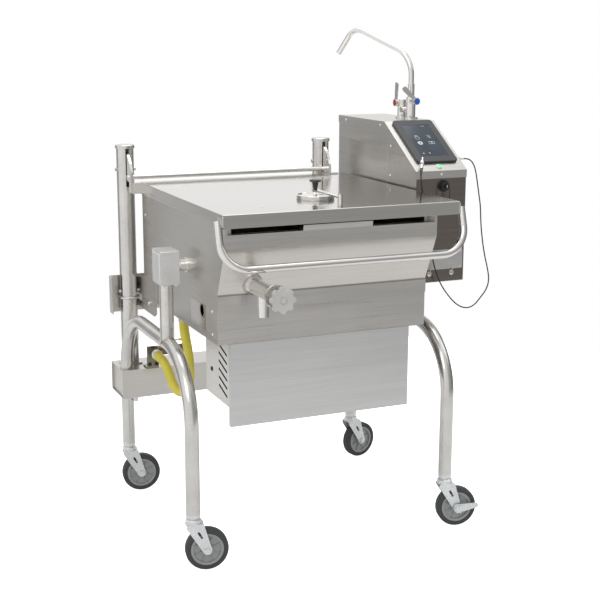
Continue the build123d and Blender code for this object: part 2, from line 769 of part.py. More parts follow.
panel_width = burner_box_width + 2 * front_panel_lap
with BuildPart() as burner_front_panel:
    with BuildSketch(Plane.XY.offset(front_panel_bottom_z)):
        with Locations((burner_box_mid_x, pan_fold_y)):
            Rectangle(panel_width, sheet, align=(Align.CENTER, Align.MAX))
        for side in (-1, 1):
            with Locations((burner_box_mid_x + side * (panel_width - sheet) / 2, pan_fold_y)):
                Rectangle(sheet, 14, align=(Align.CENTER, Align.MIN))
    extrude(amount=skirt_bottom_z - front_panel_bottom_z)
burner_front_panel.part.label = "burner_front_panel"
export_step(burner_front_panel.part, "parts/burner_front_panel.step")

# ==== Trunnion shafts, welded to the pan's sides ==================================================
left_shaft_end_x = box_left_x + 12
right_shaft_end_x = drive_plate_x + drive_plate_thickness + reducer_width + 6
with BuildPart() as trunnion_shafts:
    for pan_side_x, outward, boss_end_x, shaft_end_x in (
        (pan_left_x, -1, box_right_x + 12, left_shaft_end_x),
        (pan_right_x, 1, pan_right_x + 30, right_shaft_end_x),
    ):
        plate_face_x = pan_side_x + outward * trunnion_plate_thickness
        with BuildSketch(tilt_plane):
            Polygon(
                (pan_side_x, tilt_z),
                (pan_side_x, tilt_z + trunnion_plate_d / 2),
                (plate_face_x, tilt_z + trunnion_plate_d / 2),
                (plate_face_x, tilt_z + trunnion_boss_d / 2),
                (boss_end_x, tilt_z + trunnion_boss_d / 2),
                (boss_end_x, tilt_z + trunnion_d / 2),
                (shaft_end_x, tilt_z + trunnion_d / 2),
                (shaft_end_x, tilt_z),
                align=None,
            )
        revolve(axis=tilt_axis)
trunnion_shafts.part.label = "trunnion_shafts"
export_step(trunnion_shafts.part, "parts/trunnion_shafts.step")

# ==== Draw-off valve ==============================================================================
valve_face_y = pan_fold_y + (pan_lip_y - pan_fold_y) * (valve_z - fold_z) / (lip_bottom_z - fold_z)
liner_face_y = liner_fold_y + (liner_lip_y - liner_fold_y) * (valve_z - fold_z) / (lip_bottom_z - fold_z)
bonnet_y = valve_face_y - valve_length
valve_plane = Plane(origin=(valve_x, valve_face_y, valve_z), x_dir=(1, 0, 0), z_dir=(0, -1, 0))
handwheel_y = valve_face_y - handwheel_setout
seat_length = liner_face_y - valve_face_y
seat_end = -seat_length + plunger_rest + plunger_length + 2


def behind_slope(fold_y, lip_y):
    """Everything behind a sloping front sheet, wide enough to trim the valve."""
    with BuildPart() as block:
        with BuildSketch(Plane.YZ.offset(valve_x - valve_d)):
            Polygon(
                (fold_y, fold_z - 60),
                (fold_y, fold_z),
                (lip_y, lip_bottom_z),
                (lip_y + 200, lip_bottom_z),
                (lip_y + 200, fold_z - 60),
                align=None,
            )
        extrude(amount=2 * valve_d)
    return block.part


behind_jacket = behind_slope(pan_fold_y, pan_lip_y)
behind_vessel = behind_slope(liner_fold_y, liner_lip_y)
with BuildPart() as draw_off_tube:
    with BuildSketch(valve_plane.offset(-seat_length - 20)):
        Circle(valve_d / 2)
    extrude(amount=valve_length + seat_length + 20)
    add(behind_vessel, mode=Mode.SUBTRACT)

with BuildPart() as draw_off_body:
    # ring against the jacket
    with BuildSketch(valve_plane.offset(-20)):
        Circle(valve_ring_d / 2)
    extrude(amount=38)
    add(behind_jacket, mode=Mode.SUBTRACT)
    add(draw_off_tube.part)
    with Locations((valve_x, valve_face_y - outlet_setout, (valve_z + outlet_bottom_z) / 2)):
        Cylinder(outlet_d / 2, valve_z - outlet_bottom_z)
    with Locations((valve_x, valve_face_y - outlet_setout, outlet_bottom_z + outlet_spigot)):
        collar_height = valve_z - outlet_bottom_z - outlet_spigot
        Cylinder(outlet_collar_d / 2, collar_height, align=(Align.CENTER, Align.CENTER, Align.MIN))
    with BuildSketch(valve_plane.offset(valve_length)):
        Circle(bonnet_d / 2)
    extrude(amount=bonnet_thickness)
    with Locations((valve_x, bonnet_y - bonnet_thickness / 2, valve_z - bonnet_d / 2 - 3)):
        Box(11, bonnet_thickness - 2, 12)
    # seat bore, then a wider chamber that lets the liquid past the open plunger
    with BuildSketch(valve_plane.offset(-seat_length - 40)):
        Circle(valve_bore_d / 2)
    extrude(amount=valve_length + seat_length + 40, mode=Mode.SUBTRACT)
    with BuildSketch(valve_plane.offset(seat_end)):
        Circle(valve_bore_d / 2 + 2)
    extrude(amount=valve_length - seat_end, mode=Mode.SUBTRACT)
    with Locations((valve_x, valve_face_y - outlet_setout, outlet_bottom_z + 30)):
        Cylinder(outlet_d / 2 - 2.5, 80, mode=Mode.SUBTRACT)
    with BuildSketch(valve_plane.offset(valve_length)):
        Circle(valve_stem_d / 2 + running_gap)
    extrude(amount=bonnet_thickness, mode=Mode.SUBTRACT)
draw_off_body.part.label = "draw_off_body"
export_step(draw_off_body.part, "parts/draw_off_body.step")

plunger_face = -seat_length + plunger_rest
sleeve_length = plunger_travel + 12
with BuildPart() as draw_off_plunger:
    with BuildSketch(valve_plane.offset(plunger_face)):
        Circle(valve_bore_d / 2 - running_gap)
    extrude(amount=plunger_length)
    fillet(draw_off_plunger.edges().filter_by(GeomType.CIRCLE).sort_by(Axis.Y)[-1], 4)
    with BuildSketch(valve_plane.offset(plunger_face + plunger_length)):
        Circle(valve_stem_d)
        Circle(valve_stem_d / 2 + 2 * running_gap, mode=Mode.SUBTRACT)
    extrude(amount=sleeve_length)
draw_off_plunger.part.label = "draw_off_plunger"
export_step(draw_off_plunger.part, "parts/draw_off_plunger.step")

stem_start = plunger_face + plunger_length + plunger_travel + 1
with BuildPart() as draw_off_handwheel:
    with BuildSketch(valve_plane.offset(handwheel_setout - handwheel_thickness)):
        Circle(handwheel_d / 2 - 7)
        with PolarLocations(handwheel_d / 2 - 8, handwheel_lobes):
            Circle(8)
        with PolarLocations(handwheel_d / 2 + 2, handwheel_lobes, start_angle=180 / handwheel_lobes):
            Circle(6, mode=Mode.SUBTRACT)
    extrude(amount=handwheel_thickness)
    with BuildSketch(valve_plane.offset(handwheel_setout)):
        Circle(12)
    extrude(amount=-4, mode=Mode.SUBTRACT)
    with BuildSketch(valve_plane.offset(stem_start)):
        Circle(valve_stem_d / 2)
    extrude(amount=handwheel_setout - stem_start)
    with BuildSketch(valve_plane.offset(handwheel_setout - 4)):
        RegularPolygon(8, 6)
    extrude(amount=5)
    with BuildSketch(valve_plane.offset(valve_length + bonnet_thickness + free_gap)):
        Circle(valve_stem_d / 2 + 5)
    extrude(amount=handwheel_setout - handwheel_thickness - valve_length - bonnet_thickness - free_gap)
draw_off_handwheel.part.label = "draw_off_handwheel"
export_step(draw_off_handwheel.part, "parts/draw_off_handwheel.step")

# ==== Lid posts: tubes with a cap, a foot, a hinge pin and a slot for the arm =====================
post_centres_x = (left_post_x, right_post_x)
post_height = post_top_z - post_foot_z

with BuildPart() as lid_posts:
    for centre_x in post_centres_x:
        with Locations((centre_x, hinge_y, post_foot_z)):
            Cylinder(post_d / 2, post_height, align=(Align.CENTER, Align.CENTER, Align.MIN))
            Cylinder(
                post_d / 2 - post_wall,
                post_height,
                align=(Align.CENTER, Align.CENTER, Align.MIN),
                mode=Mode.SUBTRACT,
            )
            Box(post_d + 12, post_foot_depth, 4, align=(Align.CENTER, Align.CENTER, Align.MIN))
        with Locations((centre_x, hinge_y, post_top_z - 1)):
            Cylinder(post_cap_d / 2, post_cap_height, align=(Align.CENTER, Align.CENTER, Align.MIN))
    chamfer(lid_posts.faces().sort_by(Axis.Z)[-2:].edges(), 2)
    for centre_x in post_centres_x:
        with Locations((centre_x, hinge_y, (post_slot_bottom_z + post_slot_top_z) / 2)):
            Box(post_slot_width, 2 * post_d, post_slot_top_z - post_slot_bottom_z, mode=Mode.SUBTRACT)
        with Locations(Location((centre_x, hinge_y, spring_pin_z), along_x)):
            Cylinder(spring_pin_d / 2 + running_gap, 2 * post_d, mode=Mode.SUBTRACT)
        with Locations(Location((centre_x, hinge_y, hinge_z), along_x)):
            Cylinder(hinge_pin_d / 2, post_d + 10)
lid_posts.part.label = "lid_posts"
export_step(lid_posts.part, "parts/lid_posts.step")

# Lift springs inside the posts, each a sleeve with its rod, standing on a cross pin
with BuildPart() as lid_springs:
    for centre_x in post_centres_x:
        with Locations((centre_x, hinge_y, spring_pin_z - 15)):
            Cylinder(16, spring_length, align=(Align.CENTER, Align.CENTER, Align.MIN))
            Cylinder(5, spring_length + 30, align=(Align.CENTER, Align.CENTER, Align.MIN))
        with Locations(Location((centre_x, hinge_y, spring_pin_z), along_x)):
            Cylinder(spring_pin_d / 2, post_d + 8)
lid_springs.part.label = "lid_springs"
export_step(lid_springs.part, "parts/lid_springs.step")

# ==== Rear channel behind the posts, with a U-bolt round each post ================================
ubolt_r = post_d / 2 + ubolt_d / 2 + 0.1
channel_sheet = sheet + 1
ubolt_tip_y = channel_y + 16
with BuildPart() as ubolts:
    for centre_x in post_centres_x:
        left_x, right_x = centre_x - ubolt_r, centre_x + ubolt_r
        with BuildLine(Plane.XY.offset(ubolt_z)) as ubolt_route:
            Line((left_x, ubolt_tip_y), (left_x, hinge_y))
            ThreePointArc((left_x, hinge_y), (centre_x, hinge_y - ubolt_r), (right_x, hinge_y))
            Line((right_x, hinge_y), (right_x, ubolt_tip_y))
        with BuildSketch(Plane(origin=(left_x, ubolt_tip_y, ubolt_z), z_dir=(0, -1, 0))):
            Circle(ubolt_d / 2)
        sweep(path=ubolt_route.wire())
        for bolt_leg_x in (left_x, right_x):
            nut_face = (bolt_leg_x, channel_y + channel_sheet, ubolt_z)
            with BuildSketch(Plane(origin=nut_face, z_dir=(0, 1, 0))):
                RegularPolygon(7.5, 6)
            extrude(amount=7)

with BuildPart() as rear_channel:
    with BuildSketch(Plane.XY.offset(channel_bottom_z)):
        with Locations((channel_left_x + channel_width / 2, channel_y)):
            Rectangle(channel_width, channel_sheet, align=(Align.CENTER, Align.MIN))
        for end_x, side in ((channel_left_x, Align.MIN), (channel_left_x + channel_width, Align.MAX)):
            with Locations((end_x, channel_y)):
                Rectangle(channel_sheet, channel_flange, align=(side, Align.MAX))
    extrude(amount=channel_height)
    for centre_x in post_centres_x:
        for side in (-1, 1):
            with Locations(Location((centre_x + side * ubolt_r, channel_y, ubolt_z), along_y)):
                Cylinder(ubolt_d / 2 + 0.5, 8 * sheet, mode=Mode.SUBTRACT)
    add(ubolts.part)
rear_channel.part.label = "rear_channel"
export_step(rear_channel.part, "parts/rear_channel.step")

# ==== Side brackets that join the pan's lower rear corners to the channel =========================
bracket_front_y = stand_y + 192.0
bracket_bottom_z = 630.0
bracket_top_z = 766.0
bracket_rear_height = 94.0
bracket_sheet = 3.0
bracket_bolt_d = 14.0
bracket_bolt_y = bracket_front_y + 64.0
bracket_bolt_z = bracket_bottom_z + 35.0
with BuildPart() as pan_brackets:
    for face_x, outward, rear_y in ((pan_left_x, -1, channel_y), (pan_right_x, 1, hinge_y - 20)):
        with BuildSketch(Plane.YZ.offset(face_x)) as plate_outline:
            Polygon(
                (bracket_front_y, bracket_bottom_z + 12),
                (bracket_front_y, bracket_top_z),
                (rear_y, bracket_bottom_z + bracket_rear_height),
                (rear_y, bracket_bottom_z),
                (bracket_front_y + 20, bracket_bottom_z),
                align=None,
            )
            fillet(plate_outline.vertices().group_by(Axis.Y)[0], 10)
        extrude(amount=outward * bracket_sheet)
        with Locations(Location((face_x + outward * bracket_sheet, bracket_bolt_y, bracket_bolt_z), along_x)):
            Cylinder(bracket_bolt_d / 2, 8)
    # tab from the left plate along the channel
    with Locations((pan_left_x, channel_y, bracket_bottom_z)):
        Box(30, bracket_sheet, bracket_rear_height, align=(Align.MIN, Align.MAX, Align.MIN))
    # the right plate is welded round its post, and both clear the U-bolts
    with Locations((right_post_x, hinge_y, bracket_bottom_z)):
        Cylinder(post_d / 2, 2 * channel_height, mode=Mode.SUBTRACT)
    for centre_x in post_centres_x:
        with Locations((centre_x, hinge_y - 45, ubolt_z)):
            Box(
                2 * ubolt_r + 3 * ubolt_d,
                80,
                3 * ubolt_d,
                align=(Align.CENTER, Align.MIN, Align.CENTER),
                mode=Mode.SUBTRACT,
            )
pan_brackets.part.label = "pan_brackets"
export_step(pan_brackets.part, "parts/pan_brackets.step")

# ==== Lid =========================================================================================
lid_mid = (lid_left_x + lid_width / 2, (lid_front_y + lid_rear_y) / 2)
lid_length = lid_rear_y - lid_front_y
with BuildPart() as lid_shell:
    with Locations((*lid_mid, lid_top_z)):
        Box(lid_width, lid_length, lid_flange, align=(Align.CENTER, Align.CENTER, Align.MAX))
    fillet(lid_shell.faces().sort_by(Axis.Z)[-1].edges(), 3)
    with Locations((*lid_mid, lid_top_z - lid_sheet)):
        Box(
            lid_width - 2 * lid_sheet,
            lid_length - 2 * lid_sheet,
            lid_flange,
            align=(Align.CENTER, Align.CENTER, Align.MAX),
            mode=Mode.SUBTRACT,
        )
    with Locations((lid_mid[0], lid_rear_y, lid_top_z - lid_rear_flange)):
        Box(
            lid_width - 2 * lid_sheet,
            8 * lid_sheet,
            lid_flange,
            align=(Align.CENTER, Align.CENTER, Align.MAX),
            mode=Mode.SUBTRACT,
        )
    with Locations((vent_x, vent_y, lid_top_z)):
        Cylinder(vent_hole_d / 2, 6 * lid_sheet, mode=Mode.SUBTRACT)
lid_shell.part.label = "lid_shell"
export_step(lid_shell.part, "parts/lid_shell.step")

# Full-width handle: a bent tube whose flattened ends are bolted to the lid's side flanges
handle_left_x = lid_left_x - handle_d / 2
handle_right_x = lid_left_x + lid_width + handle_d / 2
handle_drop = handle_end_z - handle_bottom_z
handle_lean = handle_end_y - handle_front_y
handle_slant = hypot(handle_drop, handle_lean)
handle_plane = Plane(
    origin=(handle_left_x, handle_end_y, handle_end_z),
    x_dir=(1, 0, 0),
    z_dir=(0, -handle_drop / handle_slant, handle_lean / handle_slant),
)
handle_span = handle_right_x - handle_left_x
with BuildPart() as lid_handle:
    with BuildLine(handle_plane) as handle_route:
        FilletPolyline(
            (0, 0),
            (0, -handle_slant),
            (handle_span, -handle_slant),
            (handle_span, 0),
            radius=handle_bend_r,
        )
    with BuildSketch(Plane(handle_plane.origin, x_dir=(1, 0, 0), z_dir=-handle_plane.y_dir)):
        Circle(handle_d / 2)
    sweep(path=handle_route.wire())
    for end_x, outward in ((handle_left_x, -1), (handle_right_x, 1)):
        with Locations((end_x - outward * (handle_d / 2 - 2), handle_end_y + 6, handle_end_z - 2)):
            Box(4, 34, 26)
lid_handle.part.label = "lid_handle"
export_step(lid_handle.part, "parts/lid_handle.step")

# Arms: curved plates that hang on the posts' pins and carry the lid's rear corners, and the bar
# that joins them
arm_foot_z = lid_top_z
arm_foot_front_y = hinge_y - 83
arm_foot_rear_y = hinge_bar_y + 6
block_front_y = stand_y + 296.0
block_length = lid_rear_y - block_front_y
block_left_x = left_post_x - arm_thickness / 2
bar_left_x = block_left_x - 3
bar_right_x = right_post_x + 18
with BuildPart() as lid_arms:
    for centre_x in post_centres_x:
        with BuildSketch(Plane.YZ.offset(centre_x - arm_thickness / 2)):
            with BuildLine():
                ThreePointArc(
                    (hinge_y - 28, hinge_z + 56), (hinge_y - 64, hinge_z + 26), (hinge_y - 80, hinge_z - 4)
                )
                Line((hinge_y - 80, hinge_z - 4), (arm_foot_front_y, arm_foot_z))
                Line((arm_foot_front_y, arm_foot_z), (arm_foot_rear_y, arm_foot_z))
                ThreePointArc(
                    (arm_foot_rear_y, arm_foot_z), (hinge_y - 12, hinge_z - 20), (hinge_y + 13, hinge_z - 3)
                )
                ThreePointArc(
                    (hinge_y + 13, hinge_z - 3), (hinge_y + 8, hinge_z + 11), (hinge_y - 6, hinge_z + 15)
                )
                Line((hinge_y - 6, hinge_z + 15), (hinge_y - 28, hinge_z + 56))
            make_face()
        extrude(amount=arm_thickness)
        with Locations(Location((centre_x, hinge_y, hinge_z), along_x)):
            Cylinder(hinge_pin_d / 2 + running_gap, 2 * arm_thickness, mode=Mode.SUBTRACT)
    # left foot: a block on the side flange; right foot: a pad on the lid's top
    with Locations((block_left_x, block_front_y, arm_foot_z)):
        Box(lid_left_x - block_left_x, block_length, 34, align=(Align.MIN, Align.MIN, Align.MAX))
    with Locations((right_post_x, lid_rear_y - block_length / 2 - 4, lid_top_z)):
        Box(46, block_length - 8, 4, align=(Align.CENTER, Align.CENTER, Align.MIN))
    with Locations(Location(((bar_left_x + bar_right_x) / 2, hinge_bar_y, hinge_bar_z), along_x)):
        Cylinder(bar_d / 2, bar_right_x - bar_left_x)
lid_arms.part.label = "lid_arms"
export_step(lid_arms.part, "parts/lid_arms.step")

# ==== Vent: a collar on the lid and a cover that swings aside on a pin ============================
with BuildPart() as vent_collar:
    with BuildSketch(Plane.XY.offset(lid_top_z)):
        with Locations((vent_x, vent_y)):
            Circle(vent_d / 2)
            Circle(vent_hole_d / 2, mode=Mode.SUBTRACT)
    extrude(amount=vent_collar_height)
    fillet(vent_collar.faces().sort_by(Axis.Z)[-1].edges().sort_by(SortBy.RADIUS)[-1], 0.8)
    with Locations((vent_post_x, vent_post_y, lid_top_z)):
        Cylinder(vent_post_d / 2, vent_post_height, align=(Align.CENTER, Align.CENTER, Align.MIN))
vent_collar.part.label = "vent_collar"
export_step(vent_collar.part, "parts/vent_collar.step")

cover_z = lid_top_z + vent_collar_height + free_gap
arm_bottom_z = cover_z + vent_arm_rise
sleeve_top_z = lid_top_z + vent_post_height - 3
with BuildPart() as vent_cover:
    # disc with a raised rim, a neck and a knob that widens to a flat cap
    with BuildSketch(Plane.XZ):
        Polygon(
            (0, 0),
            (vent_d / 2, 0),
            (vent_d / 2, vent_cover_height - 1),
            (vent_d / 2 - 1, vent_cover_height),
            (vent_d / 2 - 4, vent_cover_height),
            (vent_d / 2 - 6, vent_cover_height - 3),
            (5.5, vent_cover_height - 1),
            (5.5, 28),
            (6, 29),
            (9, 46),
            (vent_knob_d / 2, 48),
            (vent_knob_d / 2, 52),
            (0, 53),
            align=None,
        )
    cover_body = revolve(axis=Axis.Z, mode=Mode.PRIVATE)
    with Locations((vent_x, vent_y, cover_z)):
        add(cover_body)
    # arm to the post, with a sleeve that turns on it
    with BuildSketch(Plane.XY.offset(arm_bottom_z)):
        with Locations((vent_x, vent_y)):
            Circle(10)
        with Locations((vent_post_x, vent_post_y)):
            Circle(vent_sleeve_d / 2)
        make_hull()
    extrude(amount=vent_arm_thickness)
    with Locations((vent_post_x, vent_post_y, lid_top_z + free_gap)):
        Cylinder(
            vent_sleeve_d / 2,
            sleeve_top_z - lid_top_z - free_gap,
            align=(Align.CENTER, Align.CENTER, Align.MIN),
        )
        Cylinder(
            vent_post_d / 2 + running_gap,
            60,
            align=(Align.CENTER, Align.CENTER, Align.MIN),
            mode=Mode.SUBTRACT,
        )
vent_cover.part.label = "vent_cover"
export_step(vent_cover.part, "parts/vent_cover.step")

# ==== Console =====================================================================================
console_profile = [
    (console_front_y + cap_sheet, console_bottom_z),
    (console_front_y + cap_sheet, console_brow_z - 1),
    (slope_rear_y, console_top_z - cap_sheet),
    (console_rear_y - cap_sheet, console_top_z - cap_sheet),
    (console_rear_y - cap_sheet, console_bottom_z),
]
housing_width = console_width - 2 * cap_sheet
screen_middle = Location((screen_shift_x, screen_start + screen_frame_length / 2, 0))
screen_place = slope_plane.location * screen_middle
with BuildPart() as console_housing:
    with BuildSketch(Plane.YZ.offset(console_left_x + cap_sheet)):
        Polygon(*console_profile, align=None)
    extrude(amount=housing_width)
    with BuildSketch(Plane.YZ.offset(console_left_x + cap_sheet + sheet)):
        Polygon(*console_profile, align=None)
        offset(amount=-sheet, kind=Kind.INTERSECTION)
        with Locations(((console_front_y + console_rear_y) / 2, console_bottom_z)):
            Rectangle(console_rear_y - console_front_y - 2 * cap_sheet - 2 * sheet, 4 * sheet)
    extrude(amount=housing_width - 2 * sheet, mode=Mode.SUBTRACT)
    with Locations(Location((console_left_x, tilt_y, tilt_z), along_x)):
        Cylinder(trunnion_d / 2 + 6, 20, mode=Mode.SUBTRACT)
    with Locations(screen_place):
        Box(screen_frame_width - 16, screen_frame_length - 16, 30, mode=Mode.SUBTRACT)
    with Locations(slope_plane.location * Location((0, button_along, 0))):
        Cylinder(button_d / 2 + 3, 40, mode=Mode.SUBTRACT)
    with Locations(Location((socket_x, console_front_y, socket_z), along_y)):
        Cylinder(socket_d / 2 - 5, 20, mode=Mode.SUBTRACT)
console_housing.part.label = "console_housing"
export_step(console_housing.part, "parts/console_housing.step")

cap_profile = [
    (console_front_y, console_brow_z - cap_flange),
    (console_front_y, console_brow_z),
    (slope_rear_y, console_top_z),
    (console_rear_y, console_top_z),
    (console_rear_y, console_top_z - cap_flange),
    (slope_rear_y + 7, console_top_z - cap_flange),
    (console_front_y + 7, console_brow_z - cap_flange),
]
with BuildPart() as console_cap:
    with BuildSketch(Plane.YZ.offset(console_left_x)):
        Polygon(*cap_profile, align=None)
    extrude(amount=console_width)
    with BuildSketch(Plane.YZ.offset(console_left_x + cap_sheet)):
        Polygon(*console_profile, align=None)
    extrude(amount=housing_width, mode=Mode.SUBTRACT)
    with Locations(screen_place):
        Box(screen_frame_width - 16, screen_frame_length - 16, 30, mode=Mode.SUBTRACT)
    with Locations(slope_plane.location * Location((0, button_along, 0))):
        Cylinder(button_d / 2 + 2, 40, mode=Mode.SUBTRACT)
console_cap.part.label = "console_cap"
export_step(console_cap.part, "parts/console_cap.step")

# Chassis: a tray on the upright, and the plate that carries the drive and the right bearing
chassis_width = housing_width - 2 * sheet
chassis_length = console_rear_y - console_front_y - 2 * cap_sheet - 2 * sheet
chassis_mid = (console_mid_x, (console_front_y + console_rear_y) / 2)
plate_top_z = tilt_z + 95
with BuildPart() as console_chassis:
    with BuildSketch(Plane.XY.offset(console_bottom_z)):
        with Locations(chassis_mid):
            Rectangle(chassis_width, chassis_length)
    extrude(amount=3)
    for side in (-1, 1):
        flange_y = chassis_mid[1] + side * (chassis_length - sheet) / 2
        with Locations((console_mid_x, flange_y, console_bottom_z)):
            Box(chassis_width, sheet, 30, align=(Align.CENTER, Align.CENTER, Align.MIN))
    with BuildSketch(Plane.YZ.offset(drive_plate_x)):
        with Locations((console_front_y + drive_inset, console_bottom_z)):
            Rectangle(drive_plate_depth, plate_top_z - console_bottom_z, align=(Align.MIN, Align.MIN))
    extrude(amount=drive_plate_thickness)
    with Locations(Location((drive_plate_x, tilt_y, tilt_z), along_x)):
        Cylinder(bearing_d / 2, 4 * drive_plate_thickness, mode=Mode.SUBTRACT)
console_chassis.part.label = "console_chassis"
export_step(console_chassis.part, "parts/console_chassis.step")

# Worm reducer on the drive plate with its motor
reducer_x = drive_plate_x + drive_plate_thickness
with BuildPart() as tilt_gearmotor:
    with Locations((reducer_x, console_front_y + drive_inset, tilt_z)):
        Box(reducer_width, reducer_size, reducer_size, align=(Align.MIN, Align.MIN, Align.CENTER))
    fillet(tilt_gearmotor.edges().filter_by(Axis.X), 18)
    with Locations(Location((reducer_x + reducer_width, tilt_y, tilt_z), along_x)):
        Cylinder(34, 8)
    motor_y = console_front_y + drive_inset + reducer_size
    with Locations(Location((reducer_x + reducer_width / 2 + 6, motor_y, tilt_z + 26), along_y)):
        Cylinder(motor_d / 2, motor_length, align=(Align.CENTER, Align.CENTER, Align.MAX))
    with Locations(Location((reducer_x, tilt_y, tilt_z), along_x)):
        Cylinder(trunnion_d / 2 + running_gap, 3 * reducer_width, mode=Mode.SUBTRACT)
tilt_gearmotor.part.label = "tilt_gearmotor"
export_step(tilt_gearmotor.part, "parts/tilt_gearmotor.step")

# Touch screen: a frame on the slope with a glass set flush into it
screen_plane = Plane(screen_place)
with BuildPart() as screen_frame:
    with BuildSketch(screen_plane):
        RectangleRounded(screen_frame_width, screen_frame_length, 12)
    extrude(amount=screen_frame_height)
    fillet(screen_frame.faces().sort_by(Axis.Z)[-1].edges(), 2)
    with BuildSketch(screen_plane.offset(screen_frame_height)):
        Rectangle(glass_width, glass_length)
    extrude(amount=-3, mode=Mode.SUBTRACT)
screen_frame.part.label = "screen_frame"
export_step(screen_frame.part, "parts/screen_frame.step")

with BuildPart() as screen_glass:
    with BuildSketch(screen_plane.offset(screen_frame_height - 3)):
        Rectangle(glass_width - 0.4, glass_length - 0.4)
    extrude(amount=2.6)
screen_glass.part.label = "screen_glass"
export_step(screen_glass.part, "parts/screen_glass.step")

# Power button in its collar
with BuildPart() as button_collar:
    with BuildSketch(slope_plane):
        with Locations((0, button_along)):
            Circle(button_d / 2 + 3)
            Circle(button_d / 2 + running_gap, mode=Mode.SUBTRACT)
    extrude(amount=1.5)
    with BuildSketch(slope_plane):
        with Locations((0, button_along)):
            Circle(button_d / 2 + 1.8)
            Circle(button_d / 2 + running_gap, mode=Mode.SUBTRACT)
    extrude(amount=-12)
button_collar.part.label = "button_collar"
export_step(button_collar.part, "parts/button_collar.step")

with BuildPart() as power_button:
    with BuildSketch(slope_plane.offset(-9)):
        with Locations((0, button_along)):
            Circle(button_d / 2)
    extrude(amount=9 + 3)
    fillet(power_button.edges().filter_by(GeomType.CIRCLE).sort_by(Axis.Z)[-1], 1)
power_button.part.label = "power_button"
export_step(power_button.part, "parts/power_button.step")

# Round plug socket on the front, closed by a cap on a strap
socket_face = (socket_x, console_front_y + cap_sheet, socket_z)
socket_plane = Plane(origin=socket_face, x_dir=(1, 0, 0), z_dir=(0, -1, 0))
with BuildPart() as plug_socket:
    with BuildSketch(socket_plane):
        Circle(socket_d / 2)
    extrude(amount=6)
    with BuildSketch(socket_plane):
        Circle(socket_d / 2 - 5.2)
    extrude(amount=-14)
    with BuildSketch(socket_plane.offset(6)):
        Circle(socket_d / 2 - 4)
    extrude(amount=12, taper=6)
    with BuildSketch(socket_plane.offset(18)):
        Circle(5)
    extrude(amount=6)
plug_socket.part.label = "plug_socket"
export_step(plug_socket.part, "parts/plug_socket.step")

# ==== Faucet: a mixing body, a side valve, two levers and a swing spout ===========================
faucet_top_z = console_top_z + faucet_body_height
riser_top_z = faucet_top_z + riser_nut_height
front_hub_y = faucet_y - 40
side_hub_x = side_valve_x - 18
with BuildPart() as faucet_body:
    with Locations((faucet_x, faucet_y, console_top_z)):
        Cylinder(24, 6, align=(Align.CENTER, Align.CENTER, Align.MIN))
        Cylinder(faucet_body_d / 2, faucet_body_height, align=(Align.CENTER, Align.CENTER, Align.MIN))
    with Locations((side_valve_x, side_valve_y, console_top_z)):
        Cylinder(20, 6, align=(Align.CENTER, Align.CENTER, Align.MIN))
        Cylinder(side_valve_d / 2, side_valve_height, align=(Align.CENTER, Align.CENTER, Align.MIN))
    bridge_angle = degrees(atan2(side_valve_y - faucet_y, side_valve_x - faucet_x))
    bridge_middle = ((faucet_x + side_valve_x) / 2, (faucet_y + side_valve_y) / 2, console_top_z + 30)
    with Locations(Location(bridge_middle, (0, 90, bridge_angle))):
        Cylinder(9, hypot(side_valve_y - faucet_y, side_valve_x - faucet_x))
    with Locations((faucet_x, faucet_y, faucet_top_z)):
        Cylinder(11.5, riser_nut_height, align=(Align.CENTER, Align.CENTER, Align.MIN))
    with Locations(Location((faucet_x - 5, front_hub_y, tap_stem_z), along_y)):
        Cylinder(10, 26, align=(Align.CENTER, Align.CENTER, Align.MAX))
    with Locations(Location((side_hub_x + 3, side_valve_y, tap_stem_z - 8), along_x)):
        Cylinder(10, 16, align=(Align.CENTER, Align.CENTER, Align.MIN))
    with Locations(Location((faucet_x - 5, front_hub_y, tap_stem_z), along_y)):
        Cylinder(tap_stem_d / 2 + running_gap, 28, mode=Mode.SUBTRACT)
    with Locations(Location((side_hub_x + 3, side_valve_y, tap_stem_z - 8), along_x)):
        Cylinder(tap_stem_d / 2 + running_gap, 28, mode=Mode.SUBTRACT)
    with Locations((faucet_x, faucet_y, riser_top_z)):
        Cylinder(
            spout_d / 2 + running_gap,
            riser_nut_height + 30,
            align=(Align.CENTER, Align.CENTER, Align.MAX),
            mode=Mode.SUBTRACT,
        )
faucet_body.part.label = "faucet_body"
export_step(faucet_body.part, "parts/faucet_body.step")


def tap_lever(hub_plane, direction):
    """A round hub on a stem with a flat lever, drawn in the plane of the hub."""
    far = (tap_lever_length * direction[0], tap_lever_length * direction[1])
    with BuildPart() as lever:
        with BuildSketch(hub_plane):
            Circle(tap_hub_d / 2)
        extrude(amount=12)
        with BuildSketch(hub_plane):
            Circle(tap_stem_d / 2)
        extrude(amount=-13)
        with BuildSketch(hub_plane.offset(4)):
            Circle(6)
            with Locations(far):
                Circle(8)
            make_hull()
        extrude(amount=5)
    return lever


front_hub_plane = Plane(
    origin=(faucet_x - 5, front_hub_y - free_gap, tap_stem_z), x_dir=(1, 0, 0), z_dir=(0, -1, 0)
)
cold_lever = tap_lever(front_hub_plane, (-0.73, 0.68))
cold_lever.part.label = "cold_lever"
export_step(cold_lever.part, "parts/cold_lever.step")

side_hub_plane = Plane(
    origin=(side_hub_x + 3 - free_gap, side_valve_y, tap_stem_z - 8), x_dir=(0, -1, 0), z_dir=(-1, 0, 0)
)
hot_lever = tap_lever(side_hub_plane, (0.08, 1.0))
hot_lever.part.label = "hot_lever"
export_step(hot_lever.part, "parts/hot_lever.step")

